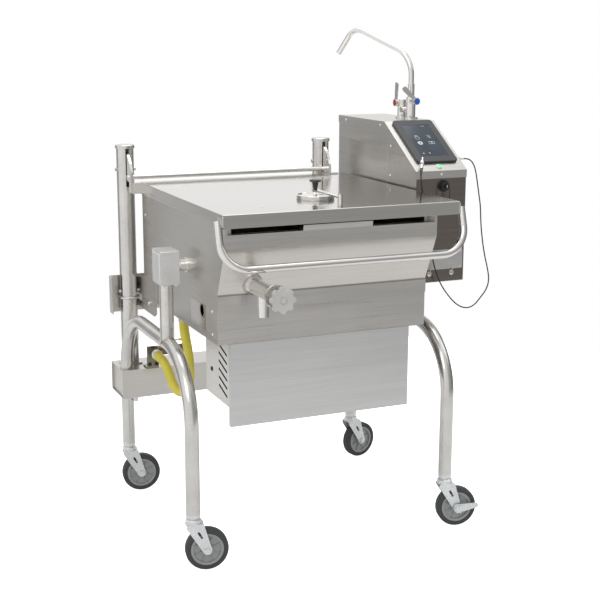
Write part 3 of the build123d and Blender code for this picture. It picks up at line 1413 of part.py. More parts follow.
# Spout: up out of the riser, leaning over, along a rising run, and down at the tip
spout_plane = Plane(
    origin=(faucet_x, faucet_y, 0),
    x_dir=(spout_reach_xy[0], spout_reach_xy[1], 0),
    z_dir=(spout_reach_xy[1], -spout_reach_xy[0], 0),
)
with BuildPart() as faucet_spout:
    with BuildLine(spout_plane) as spout_route:
        FilletPolyline(
            (0, faucet_top_z - 22),
            (0, console_top_z + 205),
            (238, console_top_z + 300),
            (304, console_top_z + 212),
            radius=[92, 52],
        )
    with BuildSketch(Plane.XY.move(Location((faucet_x, faucet_y, faucet_top_z - 22)))):
        Circle(spout_d / 2)
        Circle(spout_d / 2 - 1.5, mode=Mode.SUBTRACT)
    sweep(path=spout_route.wire())
faucet_spout.part.label = "faucet_spout"
export_step(faucet_spout.part, "parts/faucet_spout.step")

# ==== Gas inlet bracket, cock and lever ===========================================================
bracket_y = beam_front_y - 9
with BuildPart() as gas_bracket:
    with Locations((coupling_x - 4, bracket_y, beam_top_z)):
        Box(bracket_width, bracket_thickness, bracket_height, align=(Align.CENTER, Align.MIN, Align.MIN))
    with Locations((coupling_x - 4, bracket_y, beam_top_z)):
        Box(bracket_width, 50, bracket_thickness, align=(Align.CENTER, Align.MIN, Align.MIN))
    with Locations(Location((coupling_x, bracket_y, coupling_z), along_y)):
        Cylinder(gas_pipe_d / 2 + 0.5, 30, mode=Mode.SUBTRACT)
gas_bracket.part.label = "gas_bracket"
export_step(gas_bracket.part, "parts/gas_bracket.step")

cock_y = bracket_y + 26
cock_end_x = coupling_x + cock_length
lever_pivot_x = coupling_x + 62
with BuildPart() as gas_cock:
    with BuildSketch(Plane(origin=(coupling_x, bracket_y, coupling_z), x_dir=(1, 0, 0), z_dir=(0, -1, 0))):
        RegularPolygon(coupling_d / 2 + 2, 6)
    extrude(amount=12)
    with Locations(Location((coupling_x, bracket_y, coupling_z), along_y)):
        Cylinder(coupling_d / 2 - 2, coupling_length, align=(Align.CENTER, Align.CENTER, Align.MIN))
        Cylinder(gas_pipe_d / 2, 26, align=(Align.CENTER, Align.CENTER, Align.MAX))
    with Locations((coupling_x, cock_y, coupling_z)):
        Sphere(gas_pipe_d / 2)
    with Locations(Location((coupling_x, cock_y, coupling_z), along_x)):
        Cylinder(gas_pipe_d / 2, cock_length, align=(Align.CENTER, Align.CENTER, Align.MIN))
    with BuildSketch(Plane.YZ.offset(lever_pivot_x - 24)):
        with Locations((cock_y, coupling_z)):
            RegularPolygon(gas_pipe_d / 2 + 5, 6)
    extrude(amount=48)
    with Locations((lever_pivot_x, cock_y, coupling_z)):
        Cylinder(9, 26, align=(Align.CENTER, Align.CENTER, Align.MIN))
        Cylinder(4.05, 30, align=(Align.CENTER, Align.CENTER, Align.MIN), mode=Mode.SUBTRACT)
gas_cock.part.label = "gas_cock"
export_step(gas_cock.part, "parts/gas_cock.step")

lever_z = coupling_z + 26 + free_gap
with BuildPart() as gas_cock_lever:
    with Locations((lever_pivot_x, cock_y, lever_z)):
        Cylinder(4, 16, align=(Align.CENTER, Align.CENTER, Align.MAX))
        Cylinder(10, 6, align=(Align.CENTER, Align.CENTER, Align.MIN))
    with BuildSketch(Plane.XY.offset(lever_z + 1)):
        with Locations((lever_pivot_x, cock_y)):
            Circle(7)
        with Locations((lever_pivot_x + 52, cock_y)):
            Circle(6)
        make_hull()
    extrude(amount=4)
gas_cock_lever.part.label = "gas_cock_lever"
export_step(gas_cock_lever.part, "parts/gas_cock_lever.step")

# ==== Gas hose: from the coupling, down and forward, and up into the pan's burner manifold ========
hose_start = (coupling_x, bracket_y - coupling_length, coupling_z)
hose_points = [
    hose_start,
    (coupling_x, hose_start[1] - 25, coupling_z),
    (coupling_x + 11, hose_start[1] - 51, coupling_z - 15),
    (coupling_x + 20, hose_start[1] - 71, coupling_z - 46),
    (coupling_x + 25, hose_start[1] - 88, coupling_z - 78),
    (coupling_x + 32, hose_start[1] - 113, coupling_z - 97),
    (coupling_x + 41, hose_start[1] - 143, coupling_z - 98),
    (coupling_x + 48, hose_start[1] - 170, coupling_z - 82),
    (coupling_x + 53, hose_start[1] - 186, coupling_z - 53),
    (coupling_x + 54, hose_start[1] - 189, coupling_z - 17),
    (coupling_x + 53, hose_start[1] - 185, coupling_z + 28),
    (gas_inlet_x + 5, gas_inlet_y - 15, coupling_z + 73),
    (gas_inlet_x, gas_inlet_y, coupling_z + 119),
    (gas_inlet_x, gas_inlet_y, skirt_bottom_z - inlet_nut_height),
]
hose_bends = bend_radii(hose_points)
print("hose bend radii", [round(radius) for radius in hose_bends])
with BuildPart() as gas_hose:
    with BuildLine() as hose_route:
        FilletPolyline(*hose_points, radius=hose_bends)
    with BuildSketch(Plane(origin=hose_points[0], z_dir=Vector(*hose_points[1]) - Vector(*hose_points[0]))):
        Circle(hose_d / 2)
    sweep(path=hose_route.wire())
gas_hose.part.label = "gas_hose"
export_step(gas_hose.part, "parts/gas_hose.step")
print("hose length", round(hose_route.wire().length), "volume ratio",
      round(gas_hose.part.volume / (pi * hose_d**2 / 4 * hose_route.wire().length), 4))

# ==== Probe cord: from a gland on the console's right side round to the probe on the slope ========
gland_y = stand_y - 112.0
gland_z = 1135.0
gland_length = 18.0
probe_foot = (stand_x + 394, stand_y - 184, 1112.0)
probe_tip = (stand_x + 420, stand_y - 144, 1147.0)
probe_axis = Vector(*probe_tip) - Vector(*probe_foot)
cord_points = [
    (console_right_x + gland_length, gland_y, gland_z),
    (console_right_x + gland_length + 14, gland_y, gland_z),
    (console_right_x + gland_length + 28, gland_y - 2, gland_z - 6),
    (console_right_x + gland_length + 37, gland_y - 6, gland_z - 19),
    (console_right_x + gland_length + 42, gland_y - 11, gland_z - 39),
    (stand_x + 630, stand_y - 130, gland_z - 73),
    (stand_x + 633, stand_y - 139, gland_z - 118),
    (stand_x + 634, stand_y - 148, gland_z - 150),
    (stand_x + 632.5, stand_y - 156, gland_z - 204),
    (stand_x + 634, stand_y - 166, gland_z - 258),
    (stand_x + 638.5, stand_y - 176, gland_z - 308),
    (stand_x + 646, stand_y - 186, gland_z - 352),
    (stand_x + 650, stand_y - 190, gland_z - 388),
    (stand_x + 640, stand_y - 191, gland_z - 418),
    (stand_x + 620, stand_y - 192, gland_z - 440),
    (stand_x + 596, stand_y - 192, gland_z - 466),
    (stand_x + 568, stand_y - 191, gland_z - 474),
    (stand_x + 535, stand_y - 190, gland_z - 462),
    (stand_x + 500, stand_y - 190, gland_z - 428),
    (stand_x + 470, stand_y - 189, gland_z - 386),
    (stand_x + 450, stand_y - 188, gland_z - 340),
    (stand_x + 437, stand_y - 188, gland_z - 292),
    (stand_x + 428, stand_y - 187, gland_z - 240),
    (stand_x + 419, stand_y - 187, gland_z - 188),
    (stand_x + 408, stand_y - 187, gland_z - 138),
    (stand_x + 397, stand_y - 190, gland_z - 93),
    (stand_x + 388, stand_y - 195, gland_z - 57),
    tuple(Vector(*probe_foot) - probe_axis.normalized() * 18),
    probe_foot,
]
cord_bends = bend_radii(cord_points)
print("cord bend radii", [round(radius) for radius in cord_bends])
with BuildPart() as probe_cord:
    with BuildLine() as cord_route:
        FilletPolyline(*cord_points, radius=cord_bends)
    with BuildSketch(Plane(origin=cord_points[0], z_dir=Vector(*cord_points[1]) - Vector(*cord_points[0]))):
        Circle(cord_d / 2)
    sweep(path=cord_route.wire())
probe_cord.part.label = "probe_cord"
export_step(probe_cord.part, "parts/probe_cord.step")
print("cord length", round(cord_route.wire().length), "volume ratio",
      round(probe_cord.part.volume / (pi * cord_d**2 / 4 * cord_route.wire().length), 4))

probe_plane = Plane(origin=probe_foot, z_dir=probe_axis)
with BuildPart() as probe:
    with BuildSketch(probe_plane):
        Circle(4.5)
    extrude(amount=22)
    with BuildSketch(probe_plane.offset(22)):
        Circle(3)
    extrude(amount=probe_axis.length - 22)
probe.part.label = "probe"
export_step(probe.part, "parts/probe.step")

# Holder for the probe, a stand on the slope with a bored head, and the cord's gland on the side
holder_middle = Vector(*probe_foot) + probe_axis * 0.62
holder_on_slope = slope_plane.to_local_coords(holder_middle)
with BuildPart() as probe_fittings:
    with BuildSketch(Plane(origin=holder_middle, z_dir=probe_axis)):
        Circle(6.5)
    extrude(amount=5, both=True)
    with BuildSketch(slope_plane):
        with Locations((holder_on_slope.X, holder_on_slope.Y)):
            Rectangle(9, 9)
    extrude(amount=holder_on_slope.Z)
    with BuildSketch(Plane(origin=holder_middle, z_dir=probe_axis)):
        Circle(3.3)
    extrude(amount=40, both=True, mode=Mode.SUBTRACT)
    with BuildSketch(Plane.YZ.offset(console_right_x)):
        with Locations((gland_y, gland_z)):
            Circle(7)
    extrude(amount=5)
    with BuildSketch(Plane.YZ.offset(console_right_x + 5)):
        with Locations((gland_y, gland_z)):
            Circle(5)
    extrude(amount=gland_length - 5, taper=8)
probe_fittings.part.label = "probe_fittings"
export_step(probe_fittings.part, "parts/probe_fittings.step")
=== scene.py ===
"""Tilting braising pan: finishes, fittings and stage, laid out as an add-on and run as a script."""

import json
import math

import bmesh
import bpy
from bpy.props import FloatProperty, FloatVectorProperty, IntProperty, PointerProperty
from mathutils import Matrix, Vector


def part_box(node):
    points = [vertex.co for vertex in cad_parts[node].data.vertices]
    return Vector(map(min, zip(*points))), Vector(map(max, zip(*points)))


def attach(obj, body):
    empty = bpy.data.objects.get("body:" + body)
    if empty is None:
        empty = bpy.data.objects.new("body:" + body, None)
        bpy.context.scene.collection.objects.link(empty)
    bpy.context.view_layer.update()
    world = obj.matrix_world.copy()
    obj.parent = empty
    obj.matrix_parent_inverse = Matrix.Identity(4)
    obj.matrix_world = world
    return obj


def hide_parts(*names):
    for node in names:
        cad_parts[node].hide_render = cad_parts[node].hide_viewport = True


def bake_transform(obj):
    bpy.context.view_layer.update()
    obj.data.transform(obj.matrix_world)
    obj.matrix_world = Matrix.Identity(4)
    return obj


bl_info = {
    "name": "Tilting Braising Pan",
    "version": (1, 0, 0),
    "blender": (4, 5, 0),
    "location": "3D View > Sidebar > Braising Pan",
    "description": "Finishes, hose, cord and small fittings for a gas tilting braising pan",
    "category": "Object",
}

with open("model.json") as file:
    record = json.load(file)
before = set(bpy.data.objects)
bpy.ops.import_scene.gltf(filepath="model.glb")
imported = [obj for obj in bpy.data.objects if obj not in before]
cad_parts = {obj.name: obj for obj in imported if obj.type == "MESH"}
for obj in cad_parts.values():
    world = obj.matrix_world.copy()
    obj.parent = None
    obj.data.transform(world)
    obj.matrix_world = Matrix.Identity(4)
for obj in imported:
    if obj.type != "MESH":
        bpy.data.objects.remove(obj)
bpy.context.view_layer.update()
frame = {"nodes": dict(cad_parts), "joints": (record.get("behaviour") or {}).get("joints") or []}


def at(x, y, z):
    """A place or a direction."""
    return Vector((x, y, z))


X = at(1, 0, 0)
Y = at(0, 1, 0)
Z = at(0, 0, 1)


def low(node):
    """Lowest corner of a CAD node."""
    return Vector(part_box(node)[0])


def high(node):
    """Highest corner of a CAD node."""
    return Vector(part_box(node)[1])


def middle(node):
    """Centre of a CAD node's box."""
    return (low(node) + high(node)) / 2


# ---- Settings ----


def colour(name, description, default):
    """A linear colour that a user can change."""
    return FloatVectorProperty(
        name=name, description=description, default=default, subtype="COLOR", size=3, min=0, max=1
    )


def length(name, description, default):
    """A length in metres that a user can change."""
    return FloatProperty(name=name, description=description, default=default, min=0, unit="LENGTH")


class FinishSettings(bpy.types.PropertyGroup):
    """Colours of the finishes and the size of the brushed grain."""

    sheet: colour("Sheet steel", "Brushed stainless sheet", (0.62, 0.6, 0.57))
    tube: colour("Tube steel", "Drawn stainless tube of the stand", (0.66, 0.645, 0.62))
    bright: colour("Bright steel", "Polished bar and faucet", (0.78, 0.765, 0.74))
    zinc: colour("Zinc", "Plated caster forks and fixings", (0.8, 0.82, 0.83))
    cast: colour("Cast metal", "Castings in satin aluminium", (0.78, 0.77, 0.75))
    tread: colour("Tread", "Caster tyres", (0.055, 0.056, 0.058))
    hub: colour("Hub", "Caster wheel centres", (0.42, 0.43, 0.43))
    hose: colour("Hose", "Coating of the gas hose", (1.0, 0.8, 0.1))
    black: colour("Black plastic", "Knobs, socket and cord", (0.018, 0.018, 0.019))
    bezel: colour("Screen frame", "Dark frame round the screen", (0.045, 0.05, 0.055))
    screen: colour("Screen", "Lit background of the screen", (0.007, 0.017, 0.027))
    icon: colour("Screen marks", "Marks that the screen shows", (0.42, 0.5, 0.54))
    brass: colour("Pipe", "Gas pipe and cock", (0.3, 0.22, 0.13))
    panel: colour("Front panel", "Panel in front of the burners", (0.66, 0.66, 0.655))
    # The console front's dark brown colour is painted reflection: the panel is the same steel, coloured as if it
    # mirrored a dark room.
    front: colour("Console front", "Front panel of the console", (0.23, 0.2, 0.178))
    grain_across: FloatProperty(
        name="Grain across", description="Brush lines in a metre", default=420, min=1
    )
    grain_along: FloatProperty(
        name="Grain along", description="Breaks along a brush line in a metre", default=5, min=0.1
    )


class StageSettings(bpy.types.PropertyGroup):
    """Place of the camera and level of the light."""

    camera_place: FloatVectorProperty(
        name="Camera place",
        description="Where the camera stands",
        default=(-1.50725, -3.37885, 1.5335),
        subtype="XYZ",
        unit="LENGTH",
    )
    camera_turn: FloatVectorProperty(
        name="Camera turn",
        description="How the camera is turned",
        default=(math.radians(77.46), math.radians(-0.15), math.radians(-23.41)),
        subtype="EULER",
        unit="ROTATION",
    )
    lens: FloatProperty(
        name="Lens", description="Focal length on a 36 mm sensor", default=72.62, unit="CAMERA"
    )
    floor_radius: length("Floor radius", "Radius of the pale floor", 2.4)
    key_power: FloatProperty(name="Key light", description="Large light at the front", default=46, unit="POWER")
    fill_power: FloatProperty(name="Fill light", description="Light from the right", default=16, unit="POWER")


class FittingSettings(bpy.types.PropertyGroup):
    """Sizes of the small fittings."""

    screw: length("Screw head", "Radius of a sheet metal screw's head", 0.0042)
    bead: length("Weld bead", "Radius of a weld bead", 0.0026)
    ripples: IntProperty(name="Ripples", description="Ripples in a weld bead", default=34, min=6)
    hose_diameter: length("Hose diameter", "Outside diameter of the gas hose", 0.03)
    hose_length: length("Hose length", "Length of the gas hose", 0.478)
    cord_diameter: length("Cord diameter", "Outside diameter of the probe cord", 0.004)
    cord_length: length("Cord length", "Length of the probe cord", 1.062)


def finishes():
    """The finish settings of the open scene."""
    return bpy.context.scene.pan_finishes


def fittings():
    """The fitting settings of the open scene."""
    return bpy.context.scene.pan_fittings


# ---- Shader groups that several finishes share ----


def new_group(name, inputs, outputs):
    """An empty shader node group with float sockets, and its two end nodes."""
    tree = bpy.data.node_groups.new(name, "ShaderNodeTree")
    for label, value in inputs:
        socket = tree.interface.new_socket(label, in_out="INPUT", socket_type="NodeSocketFloat")
        socket.default_value = value
    for label in outputs:
        tree.interface.new_socket(label, in_out="OUTPUT", socket_type="NodeSocketFloat")
    return tree, tree.nodes.new("NodeGroupInput"), tree.nodes.new("NodeGroupOutput")


def link(tree, source, target):
    """Joins an output socket to an input socket."""
    tree.links.new(source, target)


def math_node(tree, operation, first, second=None):
    """A Math node whose inputs are sockets or numbers; returns its output."""
    node = tree.nodes.new("ShaderNodeMath")
    node.operation = operation
    for socket, source in zip(node.inputs, (first, second)):
        if isinstance(source, (int, float)):
            socket.default_value = source
        elif source is not None:
            link(tree, source, socket)
    return node.outputs[0]


def times(tree, first, second):
    """The product of two sockets or numbers."""
    return math_node(tree, "MULTIPLY", first, second)


def larger(tree, first, second):
    """The larger of two sockets or numbers."""
    return math_node(tree, "MAXIMUM", first, second)


def weighted(tree, first, share, second, rest):
    """Two sockets added after each is multiplied by its share."""
    return math_node(tree, "ADD", times(tree, first, share), times(tree, second, rest))


def noise(tree, vector, scale, detail, roughness=0.5):
    """A Noise Texture on a vector; returns its value."""
    node = tree.nodes.new("ShaderNodeTexNoise")
    node.inputs["Detail"].default_value = detail
    node.inputs["Roughness"].default_value = roughness
    if isinstance(scale, (int, float)):
        node.inputs["Scale"].default_value = scale
    else:
        link(tree, scale, node.inputs["Scale"])
    link(tree, vector, node.inputs["Vector"])
    return node.outputs["Fac"]


def remapped(tree, value, from_range, to_range=(0, 1), smooth=False):
    """A value moved from one range to another; returns the output."""
    node = tree.nodes.new("ShaderNodeMapRange")
    if smooth:
        node.interpolation_type = "SMOOTHSTEP"
    for label, number in zip(("From Min", "From Max", "To Min", "To Max"), (*from_range, *to_range)):
        node.inputs[label].default_value = number
    link(tree, value, node.inputs["Value"])
    return node.outputs[0]


def stretched(tree, point, along_x, along_y, along_z):
    """The point with each of its three parts multiplied by a socket."""
    factors = tree.nodes.new("ShaderNodeCombineXYZ")
    for socket, source in zip(factors.inputs, (along_x, along_y, along_z)):
        link(tree, source, socket)
    product = tree.nodes.new("ShaderNodeVectorMath")
    product.operation = "MULTIPLY"
    link(tree, point, product.inputs[0])
    link(tree, factors.outputs[0], product.inputs[1])
    return product.outputs[0]


def brushed_group(name):
    """Brush lines that run level round the walls and from side to side on the tops."""
    tree, given, put_out = new_group(name, [("Across", 400), ("Along", 5)], ["Grain"])
    place = tree.nodes.new("ShaderNodeTexCoord").outputs["Object"]
    facing = tree.nodes.new("ShaderNodeSeparateXYZ")
    normal = tree.nodes.new("ShaderNodeTexCoord").outputs["Normal"]
    link(tree, normal, facing.inputs[0])
    across, along = given.outputs["Across"], given.outputs["Along"]
    wide_across = times(tree, across, 0.17)
    wide_along = times(tree, along, 0.4)
    is_top = math_node(tree, "GREATER_THAN", math_node(tree, "ABSOLUTE", facing.outputs[2]), 0.7)
    is_wall = math_node(tree, "SUBTRACT", 1, is_top)
    grains = []
    for lines, breaks, detail in ((across, along, 4), (wide_across, wide_along, 2)):
        on_wall = noise(tree, stretched(tree, place, breaks, breaks, lines), 1, detail, 0.65)
        on_top = noise(tree, stretched(tree, place, breaks, lines, lines), 1, detail, 0.65)
        grains.append(weighted(tree, on_top, is_top, on_wall, is_wall))
    total = weighted(tree, grains[0], 0.6, grains[1], 0.4)
    link(tree, remapped(tree, total, (0.3, 0.7)), put_out.inputs["Grain"])
    return tree


def handling_group(name):
    """Cloudy marks from wiping and handling."""
    tree, given, put_out = new_group(name, [("Size", 3.5), ("Amount", 1)], ["Marks"])
    place = tree.nodes.new("ShaderNodeTexCoord").outputs["Object"]
    clouds = noise(tree, place, given.outputs["Size"], 5, 0.55)
    spread = remapped(tree, clouds, (0.35, 0.68), smooth=True)
    marks = times(tree, spread, given.outputs["Amount"])
    link(tree, marks, put_out.inputs["Marks"])
    return tree


def pitted_group(name):
    """The fine pits and lumps of a casting or a moulding."""
    tree, given, put_out = new_group(name, [("Fineness", 600)], ["Height"])
    place = tree.nodes.new("ShaderNodeTexCoord").outputs["Object"]
    fine = noise(tree, place, given.outputs["Fineness"], 3)
    coarse = noise(tree, place, times(tree, given.outputs["Fineness"], 0.18), 2)
    link(tree, weighted(tree, fine, 0.6, coarse, 0.4), put_out.inputs["Height"])
    return tree


def edge_group(name):
    """White along outer edges that hands and tools have rubbed."""
    tree, given, put_out = new_group(name, [("Width", 0.0015), ("Amount", 1)], ["Edge"])
    rounded = tree.nodes.new("ShaderNodeBevel")
    rounded.samples = 4
    link(tree, given.outputs["Width"], rounded.inputs["Radius"])
    flat = tree.nodes.new("ShaderNodeNewGeometry")
    agreement = tree.nodes.new("ShaderNodeVectorMath")
    agreement.operation = "DOT_PRODUCT"
    link(tree, rounded.outputs[0], agreement.inputs[0])
    link(tree, flat.outputs["Normal"], agreement.inputs[1])
    difference = math_node(tree, "SUBTRACT", 1, agreement.outputs["Value"])
    sharpened = math_node(tree, "MINIMUM", times(tree, difference, 5), 1)
    edge = times(tree, sharpened, given.outputs["Amount"])
    link(tree, edge, put_out.inputs["Edge"])
    return tree


GROUPS = {
    "Brushed grain": brushed_group,
    "Handling marks": handling_group,
    "Pitted skin": pitted_group,
    "Rubbed edges": edge_group,
}


def place_group(tree, name, **values):
    """A group node in a material, with its own values; returns its first output."""
    node = tree.nodes.new("ShaderNodeGroup")
    node.node_tree = bpy.data.node_groups.get(name) or GROUPS[name](name)
    for label, value in values.items():
        node.inputs[label.capitalize()].default_value = value
    return node.outputs[0]


# ---- Finishes ----


def new_finish(name, metallic, **constants):
    """A material with its shader; constants are set on the shader's own sockets."""
    material = bpy.data.materials.new(name)
    material.use_nodes = True
    shader = material.node_tree.nodes["Principled BSDF"]
    shader.inputs["Metallic"].default_value = metallic
    for label, value in constants.items():
        shader.inputs[label.replace("_", " ").title()].default_value = value
    return material, material.node_tree, shader


def shade_between(tree, shader, mask, dark, light, target="Base Color"):
    """A colour of the shader from dark to light as the mask goes from 0 to 1."""
    mix = tree.nodes.new("ShaderNodeMix")
    mix.data_type = "RGBA"
    mix.inputs["A"].default_value = (*dark, 1)
    mix.inputs["B"].default_value = (*light, 1)
    link(tree, mask, mix.inputs["Factor"])
    link(tree, mix.outputs["Result"], shader.inputs[target])


def rough_between(tree, shader, mask, smooth, rough):
    """Roughness from smooth to rough as the mask goes from 0 to 1."""
    link(tree, remapped(tree, mask, (0, 1), (smooth, rough)), shader.inputs["Roughness"])


def bump_by(tree, shader, height, strength, distance):
    """A bump of the shader's normal from a height."""
    bump = tree.nodes.new("ShaderNodeBump")
    bump.inputs["Strength"].default_value = strength
    bump.inputs["Distance"].default_value = distance
    link(tree, height, bump.inputs["Height"])
    link(tree, bump.outputs[0], shader.inputs["Normal"])


def scaled(shade, factor):
    """A colour made lighter or darker."""
    return tuple(min(1, part * factor) for part in shade)


def brushed_steel(name, shade, smooth, rough, marks, bump):
    """Stainless steel with brush lines, wiping marks and a roughness that both change."""
    material, tree, shader = new_finish(name, 1)
    settings = finishes()
    grain = place_group(tree, "Brushed grain", across=settings.grain_across, along=settings.grain_along)
    clouds = place_group(tree, "Handling marks", size=3.2, amount=marks)
    both = weighted(tree, grain, 0.72, clouds, 0.28)
    shade_between(tree, shader, both, scaled(shade, 0.88), scaled(shade, 1.1))
    rough_between(tree, shader, both, smooth, rough)
    bump_by(tree, shader, grain, bump, 0.0003)
    return material


def pitted_finish(name, shade, metallic, smooth, rough, fineness, bump, edge=0):
    """A casting, plating, paint or moulding with fine pits and paler rubbed edges."""
    material, tree, shader = new_finish(name, metallic)
    pits = place_group(tree, "Pitted skin", fineness=fineness)
    clouds = place_group(tree, "Handling marks", size=14, amount=0.6)
    both = weighted(tree, pits, 0.6, clouds, 0.4)
    tone = both
    if edge:
        rubbed = place_group(tree, "Rubbed edges", width=0.0015, amount=edge)
        tone = math_node(tree, "MINIMUM", math_node(tree, "ADD", both, rubbed), 1)
    shade_between(tree, shader, tone, scaled(shade, 0.82), scaled(shade, 1.16))
    rough_between(tree, shader, both, smooth, rough)
    bump_by(tree, shader, pits, bump, 0.0006)
    return material


def lit_finish(name, shade, strength):
    """A small lit mark, cloudy by a little so that it isn't flat."""
    material, tree, shader = new_finish(name, 0, emission_strength=strength)
    shader.inputs["Roughness"].default_value = 0.3
    clouds = place_group(tree, "Handling marks", size=120, amount=1)
    shade_between(tree, shader, clouds, scaled(shade, 0.8), shade)
    shade_between(tree, shader, clouds, scaled(shade, 0.75), shade, "Emission Color")
    return material


def weld_finish(name, dark, light):
    """Ground weld metal with a straw heat tint in patches."""
    material, tree, shader = new_finish(name, 1)
    clouds = place_group(tree, "Handling marks", size=60, amount=1)
    shade_between(tree, shader, clouds, dark, light)
    rough_between(tree, shader, clouds, 0.3, 0.55)
    bump_by(tree, shader, place_group(tree, "Pitted skin", fineness=900), 0.4, 0.0005)
    return material


def glass_finish(name, shade, strength):
    """Dark glass over a lit screen whose level falls off by a little."""
    material, tree, shader = new_finish(name, 0, emission_strength=strength)
    clouds = place_group(tree, "Handling marks", size=9, amount=1)
    shade_between(tree, shader, clouds, scaled(shade, 0.7), scaled(shade, 1.2))
    rough_between(tree, shader, clouds, 0.08, 0.18)
    shade_between(tree, shader, clouds, scaled(shade, 0.8), shade, "Emission Color")
    return material


# Every finish: how it is made, its name, its colour or the setting that holds it, and the maker's values
FINISHES = {
    "sheet_steel": (brushed_steel, "Brushed sheet steel", "sheet", 0.24, 0.4, 0.5, 0.12),
    "polished_sheet": (brushed_steel, "Polished sheet steel", "sheet", 0.08, 0.2, 0.4, 0.05),
    "bright_steel": (brushed_steel, "Bright steel", "bright", 0.05, 0.14, 0.5, 0.03),
    # Darker, browner steel for the console front: a painted dark reflection, not a different metal.
    "front_sheet": (brushed_steel, "Console front sheet", "front", 0.2, 0.34, 0.35, 0.04),
    "panel_sheet": (brushed_steel, "Panel sheet steel", "panel", 0.3, 0.42, 0.4, 0.08),
    "bracket_steel": (brushed_steel, "Bracket steel", (0.3, 0.285, 0.265), 0.25, 0.4, 0.6, 0.12),
    "tube_steel": (pitted_finish, "Drawn tube steel", "tube", 1, 0.19, 0.3, 90, 0.03),
    "zinc_plate": (pitted_finish, "Zinc plate", "zinc", 0.55, 0.2, 0.36, 260, 0.12, 0.5),
    "cast_metal": (pitted_finish, "Satin cast metal", "cast", 0.75, 0.3, 0.48, 900, 0.3, 0.5),
    "grey_coating": (pitted_finish, "Light grey casting", (0.74, 0.74, 0.73), 0.35, 0.3, 0.46, 700, 0.25, 0.5),
    "tread_rubber": (pitted_finish, "Tread rubber", "tread", 0, 0.5, 0.75, 500, 0.3),
    "hub_plastic": (pitted_finish, "Hub plastic", "hub", 0, 0.35, 0.5, 400, 0.12),
    "black_plastic": (pitted_finish, "Black plastic", "black", 0, 0.25, 0.42, 900, 0.12),
    "cord_rubber": (pitted_finish, "Cord rubber", "black", 0, 0.4, 0.6, 1500, 0.2),
    "bezel_plastic": (pitted_finish, "Screen frame coating", "bezel", 0, 0.28, 0.42, 1200, 0.1),
    "gas_pipe_metal": (pitted_finish, "Gas pipe metal", "brass", 1, 0.3, 0.5, 500, 0.25, 0.6),
    "black_iron": (pitted_finish, "Black iron", (0.05, 0.048, 0.046), 0.6, 0.45, 0.7, 500, 0.4, 0.3),
    "yellow_coating": (pitted_finish, "Yellow hose coating", "hose", 0, 0.3, 0.48, 220, 0.1),
    "bare_plate": (pitted_finish, "Bare plate", (0.56, 0.555, 0.54), 0.6, 0.35, 0.5, 300, 0.05),
    "blue_index": (pitted_finish, "Blue index", (0.02, 0.12, 0.62), 0, 0.2, 0.35, 600, 0.05),
    "red_index": (pitted_finish, "Red index", (0.55, 0.02, 0.02), 0, 0.2, 0.35, 600, 0.05),
    "green_lamp": (lit_finish, "Green lamp", (0.12, 0.8, 0.36), 0.9),
    "screen_marks": (lit_finish, "Screen marks", "icon", 0.8),
    "screen_glass": (glass_finish, "Screen glass", "screen", 0.85),
    "weld_metal": (weld_finish, "Weld metal", (0.34, 0.3, 0.24), (0.6, 0.58, 0.54)),
}


def finish(key):
    """A finish from the list, made when it is first asked for."""
    make, name, shade, *values = FINISHES[key]
    if isinstance(shade, str):
        shade = getattr(finishes(), shade)
    return bpy.data.materials.get(name) or make(name, shade, *values)


def dress(key, *nodes):
    """Gives CAD nodes a finish in every slot they have."""
    material = finish(key)
    for node in nodes:
        slots = frame["nodes"][node].data.materials
        for index in range(len(slots)):
            slots[index] = material


# ---- Shapes ----


def link_piece(piece, key, body="stand"):
    """Puts a piece in the scene with its finish in a slot, and its body."""
    bpy.context.scene.collection.objects.link(piece)
    piece.data.materials.append(finish(key))
    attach(piece, body)
    return piece


def mesh_piece(name, mesh, key, body="stand", crease=40):
    """A piece from an edited mesh, smooth across edges flatter than the crease angle."""
    bmesh.ops.recalc_face_normals(mesh, faces=mesh.faces)
    for face in mesh.faces:
        face.smooth = True
    for edge in mesh.edges:
        edge.smooth = edge.calc_face_angle(0) < math.radians(crease)
    data = bpy.data.meshes.new(name)
    mesh.to_mesh(data)
    mesh.free()
    return link_piece(bpy.data.objects.new(name, data), key, body)


def upright_frame(origin, axis):
    """Matrix that takes +Z to the axis and the origin to the given point."""
    return Matrix.Translation(origin) @ Vector(axis).to_track_quat("Z", "Y").to_matrix().to_4x4()


def skin(mesh, rings):
    """Faces from each ring of corners to the next; a ring of one corner is a point."""
    for lower, upper in zip(rings, rings[1:]):
        count = max(len(lower), len(upper))
        for step in range(count):
            low_pair = [lower[turn % len(lower)] for turn in (step, (step + 1) % count)]
            high_pair = [upper[turn % len(upper)] for turn in ((step + 1) % count, step)]
            corners = list(dict.fromkeys(low_pair + high_pair))
            if len(corners) > 2:
                mesh.faces.new(corners)


def turn_profile(mesh, profile, origin, axis, segments=24):
    """Revolves (radius, height) points round an axis through the origin; returns the rings."""
    place = upright_frame(origin, axis)
    turns = [2 * math.pi * step / segments for step in range(segments)]
    rings = []
    for radius, height in profile:
        around = turns if radius > 1e-7 else [0]
        spots = [at(radius * math.cos(turn), radius * math.sin(turn), height) for turn in around]
        rings.append([mesh.verts.new(place @ spot) for spot in spots])
    skin(mesh, rings)
    return rings


def screw_head(mesh, place, axis, radius):
    """A domed head with a hexagon recess."""
    rise = radius * 0.55
    dome = [(radius, -0.0002), (radius, rise * 0.35), (radius * 0.8, rise * 0.8), (radius * 0.5, rise)]
    turn_profile(mesh, dome, place, axis, 18)
    turn_profile(mesh, [(radius * 0.5, rise), (radius * 0.44, rise * 0.3), (0, rise * 0.25)], place, axis, 6)


def side_screws(mesh, node, spots, radius):
    """Screws at (y, z) spots on the left and right faces of a CAD node."""
    for x, outward in ((low(node).x, -X), (high(node).x, X)):
        for y, z in spots:
            screw_head(mesh, at(x, y, z), outward, radius)


